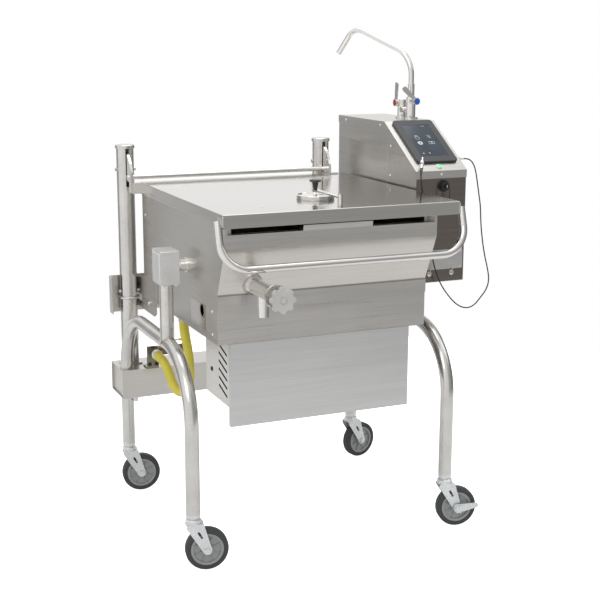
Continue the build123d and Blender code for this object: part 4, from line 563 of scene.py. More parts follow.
def hexagon_nut(mesh, place, axis, across, height):
    """A nut with chamfered corners on a washer."""
    radius = across / math.sqrt(3)
    turn_profile(mesh, [(radius * 1.25, 0), (radius * 1.25, height * 0.15), (radius, height * 0.15)], place, axis, 24)
    nut = [(radius, height * 0.1), (radius, height * 0.85), (radius * 0.86, height), (0, height)]
    turn_profile(mesh, nut, place, axis, 6)


def weld_ring(mesh, centre, axis, ring_radius, rise=None):
    """A rippled bead round a tube; rise gives its height along the axis for each outward direction."""
    bead, ripples = fittings().bead, fittings().ripples
    place = upright_frame(centre, axis)
    steps, sides = ripples * 6, 8
    rings = []
    for step in range(steps):
        turn = 2 * math.pi * step / steps
        thickness = bead * (1 + 0.16 * math.cos(turn * ripples))
        outward = place.to_3x3() @ at(math.cos(turn), math.sin(turn), 0)
        lift = rise(outward) if rise else 0
        ring = []
        for side in range(sides):
            round_turn = 2 * math.pi * side / sides
            reach = ring_radius + thickness * math.cos(round_turn)
            height = lift + thickness * math.sin(round_turn)
            ring.append(mesh.verts.new(place @ at(reach * math.cos(turn), reach * math.sin(turn), height)))
        rings.append(ring)
    skin(mesh, rings + rings[:1])


def weld_seam(mesh, start, end, bead_scale):
    """A straight rippled bead between two points."""
    bead = fittings().bead * bead_scale
    run = end - start
    ripples = max(4, int(run.length / 0.004))
    steps = ripples * 4
    profile = []
    for step in range(steps + 1):
        share = step / steps
        swell = max(0.02, min(1, 12 * share, 12 * (1 - share)))
        profile.append((bead * swell * (1 + 0.14 * math.cos(2 * math.pi * ripples * share)), run.length * share))
    rings = turn_profile(mesh, profile, start, run, 8)
    mesh.faces.new(rings[0])
    mesh.faces.new(rings[-1])


def rounded_plate(mesh, centre, right, up, width, height, thickness, corner, chamfer=0.0):
    """A flat plate with rounded corners; right and up are its directions."""
    right, up = Vector(right).normalized(), Vector(up).normalized()
    out = right.cross(up)
    outline = []
    for side_x, side_y, start in ((1, 1, 0), (-1, 1, 90), (-1, -1, 180), (1, -1, 270)):
        for step in range(5):
            turn = math.radians(start + 22.5 * step)
            x = side_x * (width / 2 - corner) + corner * math.cos(turn)
            y = side_y * (height / 2 - corner) + corner * math.sin(turn)
            outline.append((x, y))
    layers = [(0, 0), (0, thickness - chamfer), (chamfer, thickness)] if chamfer else [(0, 0), (0, thickness)]
    rings = []
    for inset, rise in layers:
        shrink_x = 1 - 2 * inset / width
        shrink_y = 1 - 2 * inset / height
        spots = [centre + right * x * shrink_x + up * y * shrink_y + out * rise for x, y in outline]
        rings.append([mesh.verts.new(spot) for spot in spots])
    skin(mesh, rings)
    mesh.faces.new(rings[0])
    mesh.faces.new(rings[-1])


def turned_piece(name, profile, origin, axis, key, body="stand", crease=40, segments=24):
    """A piece that is one revolved profile."""
    mesh = bmesh.new()
    turn_profile(mesh, profile, origin, axis, segments)
    return mesh_piece(name, mesh, key, body, crease)


def plate_piece(name, centre, right, up, sizes, key, body="stand"):
    """A piece that is one rounded plate; sizes are width, height, thickness, corner and chamfer."""
    mesh = bmesh.new()
    rounded_plate(mesh, centre, right, up, *sizes)
    return mesh_piece(name, mesh, key, body, 30)


def smooth_curve(name, points, radius):
    """A NURBS curve with the points as its control points, beveled to a round tube."""
    data = bpy.data.curves.new(name, "CURVE")
    data.dimensions = "3D"
    data.bevel_depth = radius
    data.bevel_resolution = 6
    data.resolution_u = 12
    data.use_fill_caps = True
    spline = data.splines.new("NURBS")
    spline.points.add(len(points) - 1)
    for control, point in zip(spline.points, points):
        control.co = (*point, 1)
    spline.order_u = 3
    spline.use_endpoint_u = True
    return bpy.data.objects.new(name, data)


def tube_mesh(name, curve):
    """A mesh of the curve's round tube, and the points that its middle follows."""
    bpy.context.scene.collection.objects.link(curve)
    bpy.context.view_layer.update()
    radius = curve.data.bevel_depth
    curve.data.bevel_depth = 0
    line = bpy.data.meshes.new_from_object(curve.evaluated_get(bpy.context.evaluated_depsgraph_get()))
    path = [tuple(vertex.co) for vertex in line.vertices]
    curve.data.bevel_depth = radius
    bpy.context.view_layer.update()
    tube = bpy.data.meshes.new_from_object(curve.evaluated_get(bpy.context.evaluated_depsgraph_get()))
    tube.name = name
    bpy.data.objects.remove(curve)
    return bpy.data.objects.new(name, tube), path


# ---- Places that several fittings share, worked out from the frame ----

LEG_RADIUS = 0.02065
VALVE_RING_RADIUS = 0.027
WALL_AT_VALVE = -0.31284  # where the valve's axis meets the pan's front
HUB_RIBS = 8  # on each side of a wheel centre
SOCKET_RIBS = 20  # round the socket's cap
MARK_RISE = 0.0002  # how far the screen's marks stand off the glass
PANEL_THICKNESS = 0.0008  # of the console's front panel
SLOPE = math.atan2(0.14, 0.222)  # lean of the console's sloping face
UP_SLOPE = at(0, math.cos(SLOPE), math.sin(SLOPE))
OFF_SLOPE = at(0, -math.sin(SLOPE), math.cos(SLOPE))

# Gas hose: its points from the coupling, forward, down, and up to the pan's inlet
COUPLING = at(-0.40275, 0.36185, 0.487)
HOSE_RUN = (
    (0, 0, 0), (0, -0.025, 0), (0.011, -0.051, -0.015), (0.02, -0.071, -0.046),
    (0.025, -0.088, -0.078), (0.032, -0.113, -0.097), (0.041, -0.143, -0.098), (0.048, -0.17, -0.082),
    (0.053, -0.186, -0.053), (0.054, -0.189, -0.017), (0.053, -0.185, 0.028), (0.05, -0.175, 0.073),
    (0.045, -0.16, 0.119), (0.045, -0.16, 0.165),
)

# Probe cord: from the gland on the console's side, down, round and up to the probe's foot
GLAND_END = at(0.51625, -0.02215, 1.135)
CORD_RUN = (
    (0, 0, 0), (0.014, 0, 0), (0.028, -0.002, -0.006), (0.037, -0.006, -0.019),
    (0.042, -0.011, -0.039), (0.045, -0.018, -0.073), (0.048, -0.027, -0.118), (0.049, -0.036, -0.15),
    (0.0475, -0.044, -0.204), (0.049, -0.054, -0.258), (0.0535, -0.064, -0.308), (0.061, -0.074, -0.352),
    (0.065, -0.078, -0.388), (0.055, -0.079, -0.418), (0.035, -0.08, -0.44), (0.011, -0.08, -0.466),
    (-0.017, -0.079, -0.474), (-0.05, -0.078, -0.462), (-0.085, -0.078, -0.428), (-0.115, -0.077, -0.386),
    (-0.135, -0.076, -0.34), (-0.148, -0.076, -0.292), (-0.157, -0.075, -0.24), (-0.166, -0.075, -0.188),
    (-0.177, -0.075, -0.138), (-0.188, -0.078, -0.093), (-0.197, -0.083, -0.057),
)
PROBE_FOOT = at(0.32525, -0.09415, 1.112)
PROBE_TIP = at(0.35125, -0.05415, 1.147)


FLOOR_GLOW = 0.2  # brightness of the floor in reflections
SKY_LEVEL = 0.6  # light of the sky on dull surfaces
LAMP_AIM = at(-0.05, 0, 0.8)  # middle of the pan

# Dark screens round the object: bearing, cosines where each begins and is full, and depth
SCREENS = (
    (-38, 0.84, 0.97, 0.62),  # left and behind
    (88, 0.6, 0.9, 0.8),  # right
    (138, 0.6, 0.95, 0.6),  # front right
    (180, 0.5, 0.95, 0.12),  # front
)


# ---- Operators ----


class PAN_OT_stage(bpy.types.Operator):
    """Pale floor, soft lamps, a plain sky and the camera"""

    bl_idname = "pan.stage"
    bl_label = "Stage"

    def execute(self, context):
        settings = context.scene.pan_stage
        self.add_floor(settings.floor_radius)
        self.add_sky(context.scene)
        self.add_lamp("Key", (-3.2, -3.4, 4.2), 3.0, settings.key_power)
        self.add_lamp("Fill", (3.6, -1.2, 3.4), 2.6, settings.fill_power)
        self.add_lamp("Top", (0.2, 0.6, 4.6), 3.2, settings.key_power)
        camera = bpy.data.objects.new("Camera", bpy.data.cameras.new("Camera"))
        camera.data.lens = settings.lens
        camera.data.sensor_width = 36
        camera.location = settings.camera_place
        camera.rotation_euler = settings.camera_turn
        context.scene.collection.objects.link(camera)
        context.scene.camera = camera
        context.scene.view_settings.view_transform = "Standard"
        return {"FINISHED"}

    def add_floor(self, radius):
        """A round floor that looks white to the camera and keeps a soft shadow."""
        disc = bmesh.new()
        bmesh.ops.create_circle(disc, cap_ends=True, radius=radius, segments=64)
        data = bpy.data.meshes.new("Floor")
        disc.to_mesh(data)
        disc.free()
        floor = bpy.data.objects.new("Floor", data)
        floor.location.z = -0.0005
        bpy.context.scene.collection.objects.link(floor)
        material, tree, shader = new_finish("Floor paper", 0)
        clouds = place_group(tree, "Handling marks", size=0.8, amount=1)
        shade_between(tree, shader, clouds, (0.8, 0.8, 0.8), (0.84, 0.84, 0.84))
        shader.inputs["Roughness"].default_value = 0.9
        shader.inputs["Emission Color"].default_value = (1, 1, 1, 1)
        rays = tree.nodes.new("ShaderNodeLightPath")
        seen = larger(tree, rays.outputs["Is Camera Ray"], rays.outputs["Is Transmission Ray"])
        mirrored = times(tree, rays.outputs["Is Glossy Ray"], FLOOR_GLOW)
        glow = larger(tree, seen, mirrored)
        link(tree, glow, shader.inputs["Emission Strength"])
        data.materials.append(material)

    def add_sky(self, scene):
        """White to the camera; in reflections a white room with dark screens round the object."""
        world = bpy.data.worlds.new("Sky")
        world.use_nodes = True
        scene.world = world
        tree = world.node_tree
        background = tree.nodes["Background"]
        background.inputs["Color"].default_value = (1, 1, 1, 1)
        rays = tree.nodes.new("ShaderNodeLightPath")
        direction = tree.nodes.new("ShaderNodeTexCoord").outputs["Generated"]
        darkest = 0
        for screen in SCREENS:
            darkest = larger(tree, self.screen(tree, direction, *screen), darkest)
        open_part = math_node(tree, "SUBTRACT", 1, darkest)
        mirrored = times(tree, open_part, rays.outputs["Is Glossy Ray"])
        seen = larger(tree, rays.outputs["Is Camera Ray"], rays.outputs["Is Transmission Ray"])
        plain = times(tree, rays.outputs["Is Diffuse Ray"], SKY_LEVEL)
        total = larger(tree, larger(tree, mirrored, seen), plain)
        link(tree, total, background.inputs["Strength"])

    def screen(self, tree, direction, bearing, edge, core, depth):
        """How much a dark screen shuts off a direction; the bearing is in degrees from +Y to +X."""
        turn = math.radians(bearing)
        closeness = tree.nodes.new("ShaderNodeVectorMath")
        closeness.operation = "DOT_PRODUCT"
        closeness.inputs[1].default_value = (math.sin(turn), math.cos(turn), 0)
        link(tree, direction, closeness.inputs[0])
        shut = remapped(tree, closeness.outputs["Value"], (edge, core), smooth=True)
        return times(tree, shut, depth)

    def add_lamp(self, name, place, size, power):
        """A square soft lamp aimed at the middle of the pan."""
        lamp = bpy.data.lights.new(name, "AREA")
        lamp.size = size
        lamp.energy = power
        holder = bpy.data.objects.new(name, lamp)
        holder.location = place
        holder.rotation_euler = (LAMP_AIM - Vector(place)).to_track_quat("-Z", "Y").to_euler()
        bpy.context.scene.collection.objects.link(holder)


class PAN_OT_gas_hose(bpy.types.Operator):
    """Yellow coated gas hose between the coupling and the pan, with its crimped collars"""

    bl_idname = "pan.gas_hose"
    bl_label = "Gas hose"

    def execute(self, context):
        sizes = fittings()
        route = [COUPLING + Vector(step) for step in HOSE_RUN]
        curve = smooth_curve("gas_hose_line", route, sizes.hose_diameter / 2)
        hose, path = tube_mesh("gas_hose_tube", curve)
        for polygon in hose.data.polygons:
            polygon.use_smooth = True
        context.scene.collection.objects.link(hose)
        hose.data.materials.append(finish("yellow_coating"))
        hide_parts("gas_hose")
        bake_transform(hose)
        radius = sizes.hose_diameter / 2
        outline = [(radius - 0.002, 0.001), (radius + 0.0022, 0.001), (radius + 0.0022, 0.006)]
        outline += [(radius + 0.0006, 0.008), (radius + 0.0018, 0.0105), (radius + 0.0006, 0.013)]
        outline += [(radius + 0.0018, 0.0155), (radius + 0.0018, 0.019), (radius - 0.001, 0.0195)]
        turned_piece("hose_collar_low", outline, COUPLING, -Y, "zinc_plate", crease=30, segments=32)
        turned_piece("hose_collar_high", outline, route[-1], -Z, "zinc_plate", "pan", crease=30, segments=32)
        return {"FINISHED"}


class PAN_OT_probe_cord(bpy.types.Operator):
    """Thin black cord of the food probe, with its strain relief"""

    bl_idname = "pan.probe_cord"
    bl_label = "Probe cord"

    def execute(self, context):
        sizes = fittings()
        along = (PROBE_TIP - PROBE_FOOT).normalized()
        route = [GLAND_END + Vector(step) for step in CORD_RUN] + [PROBE_FOOT - along * 0.018, PROBE_FOOT]
        cord = smooth_curve("probe_cord_line", route, sizes.cord_diameter / 2)
        link_piece(cord, "cord_rubber")
        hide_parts("probe_cord")
        sleeve = [(0.0021, -0.02), (0.0027, -0.0195), (0.0042, -0.004)]
        sleeve += [(0.0046, 0.001), (0.0046, 0.009), (0.002, 0.0092)]
        relief = turned_piece("probe_strain_relief", sleeve, PROBE_FOOT, along, "black_plastic", segments=20)
        dress("bright_steel", "probe")
        return {"FINISHED"}


class PAN_OT_stand(bpy.types.Operator):
    """Tubes, beam and trunnion box of the stand, with their weld beads, end caps and screws"""

    bl_idname = "pan.stand"
    bl_label = "Stand"

    def execute(self, context):
        dress("tube_steel", "left_side_frame", "right_side_frame", "stand_uprights")
        dress("sheet_steel", "rear_crossbeam")
        dress("grey_coating", "trunnion_box", "trunnion_cover")
        dress("gas_pipe_metal", "trunnion_bearings")
        dress("bright_steel", "trunnion_shafts")
        self.add_welds()
        self.add_beam_caps()
        self.add_trunnion_screws()
        return {"FINISHED"}

    def add_welds(self):
        """Beads where the legs pass the beam and where the uprights meet the arches."""

        def saddle(outward):
            """Height of the arch's top under the upright's wall."""
            across = LEG_RADIUS * outward.x
            return math.sqrt(max(0, LEG_RADIUS**2 - across**2)) - LEG_RADIUS

        beads = bmesh.new()
        upright_y = middle("stand_uprights").y
        for side_frame in ("left_side_frame", "right_side_frame"):
            leg_x, leg_y = middle(side_frame).x, high(side_frame).y - LEG_RADIUS
            for level in (low("rear_crossbeam").z, high("rear_crossbeam").z):
                weld_ring(beads, at(leg_x, leg_y, level), Z, LEG_RADIUS)
            weld_ring(beads, at(leg_x, upright_y, high(side_frame).z), Z, LEG_RADIUS, saddle)
        box_foot = at(middle("left_side_frame").x, upright_y, low("trunnion_box").z)
        weld_ring(beads, box_foot, Z, LEG_RADIUS)
        mesh_piece("stand_weld_beads", beads, "weld_metal")

    def add_beam_caps(self):
        """A plate set back in each end of the beam."""
        lowest, highest = low("rear_crossbeam"), high("rear_crossbeam")
        centre = (lowest + highest) / 2
        depth, height = highest.y - lowest.y - 0.0046, highest.z - lowest.z - 0.0046
        caps = bmesh.new()
        for x, right in ((lowest.x + 0.008, -Y), (highest.x - 0.008, Y)):
            rounded_plate(caps, at(x, centre.y, centre.z), right, Z, depth, height, 0.002, 0.003, 0.0006)
        mesh_piece("beam_end_caps", caps, "sheet_steel", crease=30)
        drain = [(0.0095, -0.0003), (0.0095, 0.004), (0.0075, 0.0055), (0.0075, 0.014), (0.006, 0.0155), (0, 0.0155)]
        spot = lowest + at(0.047, 0.012, 0)
        turned_piece("beam_drain_plug", drain, spot, -Z, "zinc_plate", segments=20)

    def add_trunnion_screws(self):
        """Screws in the trunnion cover's corners and bolts under the box."""
        lowest, highest = low("trunnion_cover"), high("trunnion_cover")
        box_low, box_high = low("trunnion_box"), high("trunnion_box")
        screws = bmesh.new()
        for y in (lowest.y + 0.009, highest.y - 0.009):
            for z in (lowest.z + 0.009, highest.z - 0.009):
                screw_head(screws, at(highest.x - 0.004, y, z), -X, fittings().screw * 0.8)
            for x in (box_low.x + 0.007, box_high.x - 0.007):
                hexagon_nut(screws, at(x, y, box_low.z), -Z, 0.009, 0.005)
        mesh_piece("trunnion_cover_screws", screws, "zinc_plate")


class PAN_OT_casters(bpy.types.Operator):
    """Plated forks, rubber tyres, wheel centres and the axle nuts"""

    bl_idname = "pan.casters"
    bl_label = "Casters"

    def execute(self, context):
        dress("zinc_plate", "caster_stems", "caster_brake")
        joints = {joint["name"]: joint for joint in frame["joints"]}
        for corner in ("front_left", "front_right", "rear_left", "rear_right"):
            dress("zinc_plate", f"caster_fork_{corner}")
            dress("hub_plastic", f"caster_hub_{corner}")
            dress("tread_rubber", f"caster_tyre_{corner}")
            spin = joints[f"wheel_spin_{corner}"]
            centre, axis = Vector(spin["pos_m"]), Vector(spin["axis"]).normalized()
            nuts = bmesh.new()
            for side in (-1, 1):
                hexagon_nut(nuts, centre + axis * side * 0.0221, axis * side, 0.016, 0.0062)
            mesh_piece(f"axle_nuts_{corner}", nuts, "zinc_plate", f"fork_{corner}", crease=30)
            self.add_hub_ribs(corner, centre, axis)
        return {"FINISHED"}

    def add_hub_ribs(self, corner, centre, axis):
        """Ribs from the barrel to the rim on both sides of the wheel centre."""
        place = upright_frame(centre, axis)
        ribs = bmesh.new()
        for side in (-1, 1):
            for step in range(HUB_RIBS):
                turn = Matrix.Rotation(math.radians(360 * (step + 0.5) / HUB_RIBS), 4, "Z")
                outline = [(0.0155, 0.0042), (0.0455, 0.0042), (0.0455, 0.0085), (0.0155, 0.0125)]
                layers = []
                for half in (-0.0011, 0.0011):
                    layers.append([ribs.verts.new(place @ turn @ at(r, half, side * h)) for r, h in outline])
                ribs.faces.new(layers[0])
                ribs.faces.new(layers[1])
                skin(ribs, layers)
        mesh_piece(f"hub_ribs_{corner}", ribs, "hub_plastic", body=f"wheel_{corner}", crease=20)


class PAN_OT_pan_body(bpy.types.Operator):
    """Jacket, liner, burner box and the brackets behind, with their screws and the side plate"""

    bl_idname = "pan.pan_body"
    bl_label = "Pan and burner box"

    def execute(self, context):
        dress("sheet_steel", "pan_jacket", "rear_channel", "pan_brackets", "pan_liner")
        dress("panel_sheet", "burner_front_panel")
        dress("polished_sheet", "burner_box")
        dress("black_iron", "burners")
        dress("cast_metal", "heating_plate")
        self.add_screws()
        self.add_side_plate()
        return {"FINISHED"}

    def add_screws(self):
        """Screws in the jacket, the brackets and under the front panel, and a plug in the box's side."""
        panel, box, radius = low("burner_front_panel"), low("burner_box"), fittings().screw
        screws = bmesh.new()
        side_screws(screws, "pan_jacket", ((-0.2562, 0.766), (-0.2568, 0.7), (0.39, 0.7), (0.39, 0.95)), radius)
        side_screws(screws, "pan_brackets", ((0.34585, 0.665),), radius * 1.5)
        for x in (panel.x + 0.047, high("burner_front_panel").x - 0.0516):
            screw_head(screws, at(x, panel.y + 0.0082, panel.z), -Z, radius * 1.2)
        mesh_piece("pan_screws", screws, "zinc_plate", "pan")
        plug = [(0.0075, -0.0002), (0.0075, 0.001), (0.006, 0.002), (0.0035, 0.002), (0.0028, 0.001), (0, 0.001)]
        spot = at(box.x, -0.1116, 0.558)
        turned_piece("burner_box_plug", plug, spot, -X, "black_plastic", body="pan")

    def add_side_plate(self):
        """Thin plate on the left side, cut out for the inspection hole."""
        side = low("pan_jacket").x
        hole = at(side, -0.16915, 0.752)
        plate = bmesh.new()
        corners = [(-0.0716, 0.6985), (-0.206, 0.6985), (-0.206, 0.771), (-0.0716, 0.771)]
        outline = [plate.verts.new(at(side, y, z)) for y, z in corners]
        turns = [2 * math.pi * step / 32 for step in range(32)]
        rim = [plate.verts.new(hole + at(0, 0.0175 * math.cos(a), 0.0175 * math.sin(a))) for a in turns]
        edges = []
        for loop in (outline, rim):
            edges += [plate.edges.new((loop[i], loop[(i + 1) % len(loop)])) for i in range(len(loop))]
        filled = bmesh.ops.triangle_fill(plate, use_beauty=True, use_dissolve=False, edges=edges)
        faces = [item for item in filled["geom"] if isinstance(item, bmesh.types.BMFace)]
        grown = bmesh.ops.extrude_face_region(plate, geom=faces)
        moved = [item for item in grown["geom"] if isinstance(item, bmesh.types.BMVert)]
        bmesh.ops.translate(plate, verts=moved, vec=-X * 0.0009)
        mesh_piece("side_plate", plate, "polished_sheet", "pan", crease=30)


class PAN_OT_lid(bpy.types.Operator):
    """Lid, posts, arms, handle and the vent with its black knob"""

    bl_idname = "pan.lid"
    bl_label = "Lid"

    def execute(self, context):
        dress("polished_sheet", "lid_shell", "vent_collar")
        dress("bright_steel", "lid_handle", "lid_arms", "vent_cover")
        dress("tube_steel", "lid_posts")
        dress("zinc_plate", "lid_springs")
        vent_seat = at(middle("vent_collar").x, high("vent_cover").y - 0.056, low("vent_cover").z + 0.002)
        profile = [(0.0057, 0.018), (0.0062, 0.0285), (0.0067, 0.0292), (0.0094, 0.0455), (0.0168, 0.0478)]
        profile += [(0.0174, 0.0488), (0.0174, 0.0515), (0.0165, 0.0528), (0.008, 0.0532), (0, 0.0532)]
        body = "vent_cover_body"
        turned_piece("vent_knob", profile, vent_seat, Z, "black_plastic", body=body, crease=30, segments=40)
        shell_low, shell_high = low("lid_shell"), high("lid_shell")
        fixings = bmesh.new()
        dome = [(0.0052, -0.0003), (0.005, 0.0008), (0.003, 0.0019), (0, 0.0023)]
        for x, y in ((-0.2751, -0.2719), (-0.2751, 0.3), (0.2, 0.3)):
            turn_profile(fixings, dome, at(x, y, shell_high.z), Z, 18)
        mesh_piece("lid_rivets", fixings, "bright_steel", body="lid")
        seams = bmesh.new()
        for x in (shell_low.x + 0.0006, shell_high.x - 0.0006):
            top = at(x, shell_low.y + 0.0006, shell_high.z - 0.002)
            weld_seam(seams, top - Z * 0.034, top, 0.45)
        mesh_piece("lid_corner_seams", seams, "bright_steel", "lid")
        return {"FINISHED"}


class PAN_OT_draw_off(bpy.types.Operator):
    """Draw-off valve with its cast handwheel, and the weld round its root"""

    bl_idname = "pan.draw_off"
    bl_label = "Draw-off valve"

    def execute(self, context):
        dress("bright_steel", "draw_off_body", "draw_off_plunger")
        dress("cast_metal", "draw_off_handwheel")
        root = at(middle("draw_off_handwheel").x, WALL_AT_VALVE, middle("draw_off_handwheel").z)
        front = at(0, -0.139, -0.063)

        def follow_front(outward):
            """Distance along the valve from its axis's root to the sloping front."""
            return -VALVE_RING_RADIUS * outward.dot(front) / (-Y).dot(front)

        bead = bmesh.new()
        weld_ring(bead, root, -Y, VALVE_RING_RADIUS, follow_front)
        mesh_piece("valve_weld_bead", bead, "weld_metal", "pan")
        return {"FINISHED"}


class PAN_OT_console(bpy.types.Operator):
    """Console sheet, its front panel, screws, latches and bare plate, and the plug socket"""

    bl_idname = "pan.console"
    bl_label = "Console"

    def execute(self, context):
        dress("sheet_steel", "console_housing", "console_cap", "console_chassis")
        dress("grey_coating", "tilt_gearmotor")
        dress("bezel_plastic", "screen_frame")
        dress("bright_steel", "button_collar", "probe_fittings")
        dress("black_plastic", "plug_socket")
        self.add_front_panel()
        self.add_screws()
        self.add_latches()
        self.add_socket_details()
        return {"FINISHED"}

    def add_front_panel(self):
        """The lift-off front panel with a bare plate on it; its dark brown colour is a painted reflection of a dark
        room, not the steel's own tone.
        """
        lowest, highest = low("console_housing"), high("console_housing")
        top = low("console_cap").z
        centre = at((lowest.x + highest.x) / 2, lowest.y, (lowest.z + top) / 2 + 0.0005)
        sizes = (highest.x - lowest.x - 0.001, top - lowest.z - 0.002, PANEL_THICKNESS, 0.002, 0.0003)
        plate_piece("console_front_panel", centre, X, Z, sizes, "front_sheet")
        plate_centre = at(0.4185, lowest.y - PANEL_THICKNESS, 0.823)
        sizes = (0.146, 0.063, 0.0012, 0.005, 0.0004)
        plate_piece("bare_plate", plate_centre, X, Z, sizes, "bare_plate")
        rivets = bmesh.new()
        for x in (-0.066, 0.066):
            for z in (-0.0245, 0.0245):
                spot = plate_centre + at(x, -0.0012, z)
                turn_profile(rivets, [(0.0023, -0.0002), (0.0022, 0.0006), (0.0012, 0.0012), (0, 0.0013)], spot, -Y, 14)
        mesh_piece("bare_plate_rivets", rivets, "bright_steel")

    def add_screws(self):
        """Screws on the cap's flange and on both sides, and the folded seam down the left side."""
        lowest, highest = low("console_cap"), high("console_cap")
        screws = bmesh.new()
        screw_head(screws, at(middle("screen_frame").x - 0.0035, lowest.y, 1.095), -Y, fittings().screw)
        for x, outward in ((lowest.x, -X), (highest.x, X)):
            for y, z in ((0.1721, 1.2339), (0.43, 1.2339)):
                screw_head(screws, at(x, y, z), outward, fittings().screw)
            inner = x + 0.0015 * -outward.x
            for z in (1.1716, 1.0766, 0.981, 0.885, 0.79):
                screw_head(screws, at(inner, 0.0985, z), outward, fittings().screw)
        mesh_piece("console_screws", screws, "zinc_plate")
        seams = bmesh.new()
        for x, right in ((low("console_housing").x, -Y), (high("console_housing").x, Y)):
            rounded_plate(seams, at(x, 0.117, 0.965), right, Z, 0.0022, 0.415, 0.0007, 0.0008, 0.0002)
        mesh_piece("console_side_seams", seams, "sheet_steel", crease=30)

    def add_latches(self):
        """Two quarter-turn latches near the panel's lower edge."""
        face = low("console_housing").y - PANEL_THICKNESS
        profile = [(0.0085, -0.0002), (0.0085, 0.0018), (0.0075, 0.0028)]
        profile += [(0.0052, 0.0032), (0.0048, 0.0062), (0, 0.0064)]
        latches = bmesh.new()
        for x in (0.3723, 0.4528):
            spot = at(x, face, 0.7795)
            turn_profile(latches, profile, spot, -Y, 28)
            rounded_plate(latches, spot + at(0, -0.003, 0.0065), X, Z, 0.0042, 0.019, 0.0052, 0.0018, 0.0008)
        mesh_piece("console_latches", latches, "bright_steel", crease=35)

    def add_socket_details(self):
        """Grip ribs on the socket's cap, its bayonet pin and its moulded strap."""
        lowest = low("plug_socket")
        centre = at(middle("plug_socket").x, 0, middle("plug_socket").z)
        ribs = bmesh.new()
        for step in range(SOCKET_RIBS):
            turn = 2 * math.pi * step / SOCKET_RIBS
            outward = at(math.cos(turn), 0, math.sin(turn))
            foot = centre + outward * 0.0132 + Y * (lowest.y + 0.0165)
            across = at(-math.sin(turn), 0, math.cos(turn))
            rounded_plate(ribs, foot, across, -Y, 0.0014, 0.011, 0.0011, 0.0005, 0.0002)
        mesh_piece("socket_cap_ribs", ribs, "black_plastic", crease=30)
        spot, sizes = centre + at(0.001, lowest.y, 0), (0.0032, 0.0085, 0.0012, 0.0012, 0.0004)
        plate_piece("socket_pin", spot, X, Z, sizes, "bright_steel")
        side = 0.0126
        front = lowest.y + 0.009
        points = [(-side, 0.0, -0.004), (-side - 0.001, -0.004, -0.016), (-side - 0.001, -0.003, -0.042)]
        points += [(-side + 0.004, -0.001, -0.058), (0, 0, -0.064), (side - 0.004, -0.001, -0.058)]
        points += [(side + 0.001, -0.003, -0.042), (side + 0.001, -0.004, -0.016), (side, 0.0, -0.004)]
        route = [centre + at(x, front + y, z) for x, y, z in points]
        strap, _ = tube_mesh("socket_strap", smooth_curve("socket_strap_line", route, 0.0011))
        link_piece(strap, "black_plastic")


class PAN_OT_screen(bpy.types.Operator):
    """Screen glass with plain marks, and the lit power button"""

    bl_idname = "pan.screen"
    bl_label = "Screen and button"

    def execute(self, context):
        dress("screen_glass", "screen_glass")
        dress("bright_steel", "power_button")
        self.add_marks()
        button = middle("power_button")
        foot = button + OFF_SLOPE * 0.0068
        ring = [(0.0061, 0), (0.0064, 0.0011), (0.007, 0.0015), (0.0076, 0.0011), (0.0078, 0)]
        turned_piece("power_lamp", ring, foot, OFF_SLOPE, "green_lamp", "power_button_body", segments=40)
        return {"FINISHED"}

    def add_marks(self):
        """Four plain marks, two dots and a status line, raised from the glass by a hair."""
        marks = bmesh.new()
        centre = middle("screen_glass")
        half_length = 0.0823
        lift = (high("screen_glass").z - low("screen_glass").z) / 2 - half_length * math.sin(SLOPE)
        face = centre + OFF_SLOPE * (lift / math.cos(SLOPE) + 0.0001)

        def spot(across, along):
            return face + X * across + UP_SLOPE * along

        def bar(across, along, width, length):
            rounded_plate(marks, spot(across, along), X, UP_SLOPE, width, length, MARK_RISE, min(width, length) * 0.4)

        def ring(across, along, inner, outer, segments=28):
            profile = [(inner, 0), (inner, MARK_RISE), (outer, MARK_RISE), (outer, 0)]
            turn_profile(marks, profile, spot(across, along), OFF_SLOPE, segments)

        # a pot: a bowl under two level lines
        ring(-0.021, 0.0125, 0.0064, 0.0074)
        bar(-0.021, 0.0225, 0.018, 0.0011)
        bar(-0.021, 0.0262, 0.008, 0.0011)
        # a list: three lines with a dot before each
        for row in (0, 1, 2):
            bar(0.0165, 0.0245 - 0.0065 * row, 0.0014, 0.0012)
            bar(0.0235, 0.0245 - 0.0065 * row, 0.0095, 0.0012)
        # a cog: a bold ring with teeth
        ring(-0.022, -0.0135, 0.0034, 0.0074)
        for step in range(8):
            turn = math.radians(45 * step)
            bar(-0.022 + 0.0084 * math.cos(turn), -0.0135 + 0.0084 * math.sin(turn), 0.0029, 0.0029)
        # an open book: two framed pages
        for page in (0.0145, 0.0245):
            for along in (-0.0195, -0.0075):
                bar(page, along, 0.0095, 0.0012)
            bar(page + 0.0044, -0.0135, 0.0012, 0.012)
            bar(page - 0.0044, -0.0135, 0.0012, 0.012)
        # dots at the bottom and the status line at the top
        for across in (-0.034, -0.012):
            ring(across, -0.0665, 0.0009, 0.0026, 16)
        for across in (0.018, 0.0235, 0.029):
            bar(across, half_length - 0.0085, 0.0036, 0.0014)
        mesh_piece("screen_marks", marks, "screen_marks", crease=20)


class PAN_OT_faucet(bpy.types.Operator):
    """Faucet body, spout and levers, with a blue ring and a small red index"""

    bl_idname = "pan.faucet"
    bl_label = "Faucet"

    def execute(self, context):
        dress("bright_steel", "faucet_body", "faucet_spout", "cold_lever", "hot_lever")
        cold = at(low("faucet_body").x + 0.02905, low("cold_lever").y, 1.307)
        hot = at(low("hot_lever").x, 0.26785, 1.299)
        dome = [(0.0098, -0.0002), (0.0098, 0.0007), (0.0088, 0.0013), (0, 0.0016)]
        for side, key, spot, outward in (("cold", "blue_index", cold, -Y), ("hot", "red_index", hot, -X)):
            turned_piece(f"{side}_index", dome, spot, outward, key, f"{side}_lever_body", segments=32)
        return {"FINISHED"}


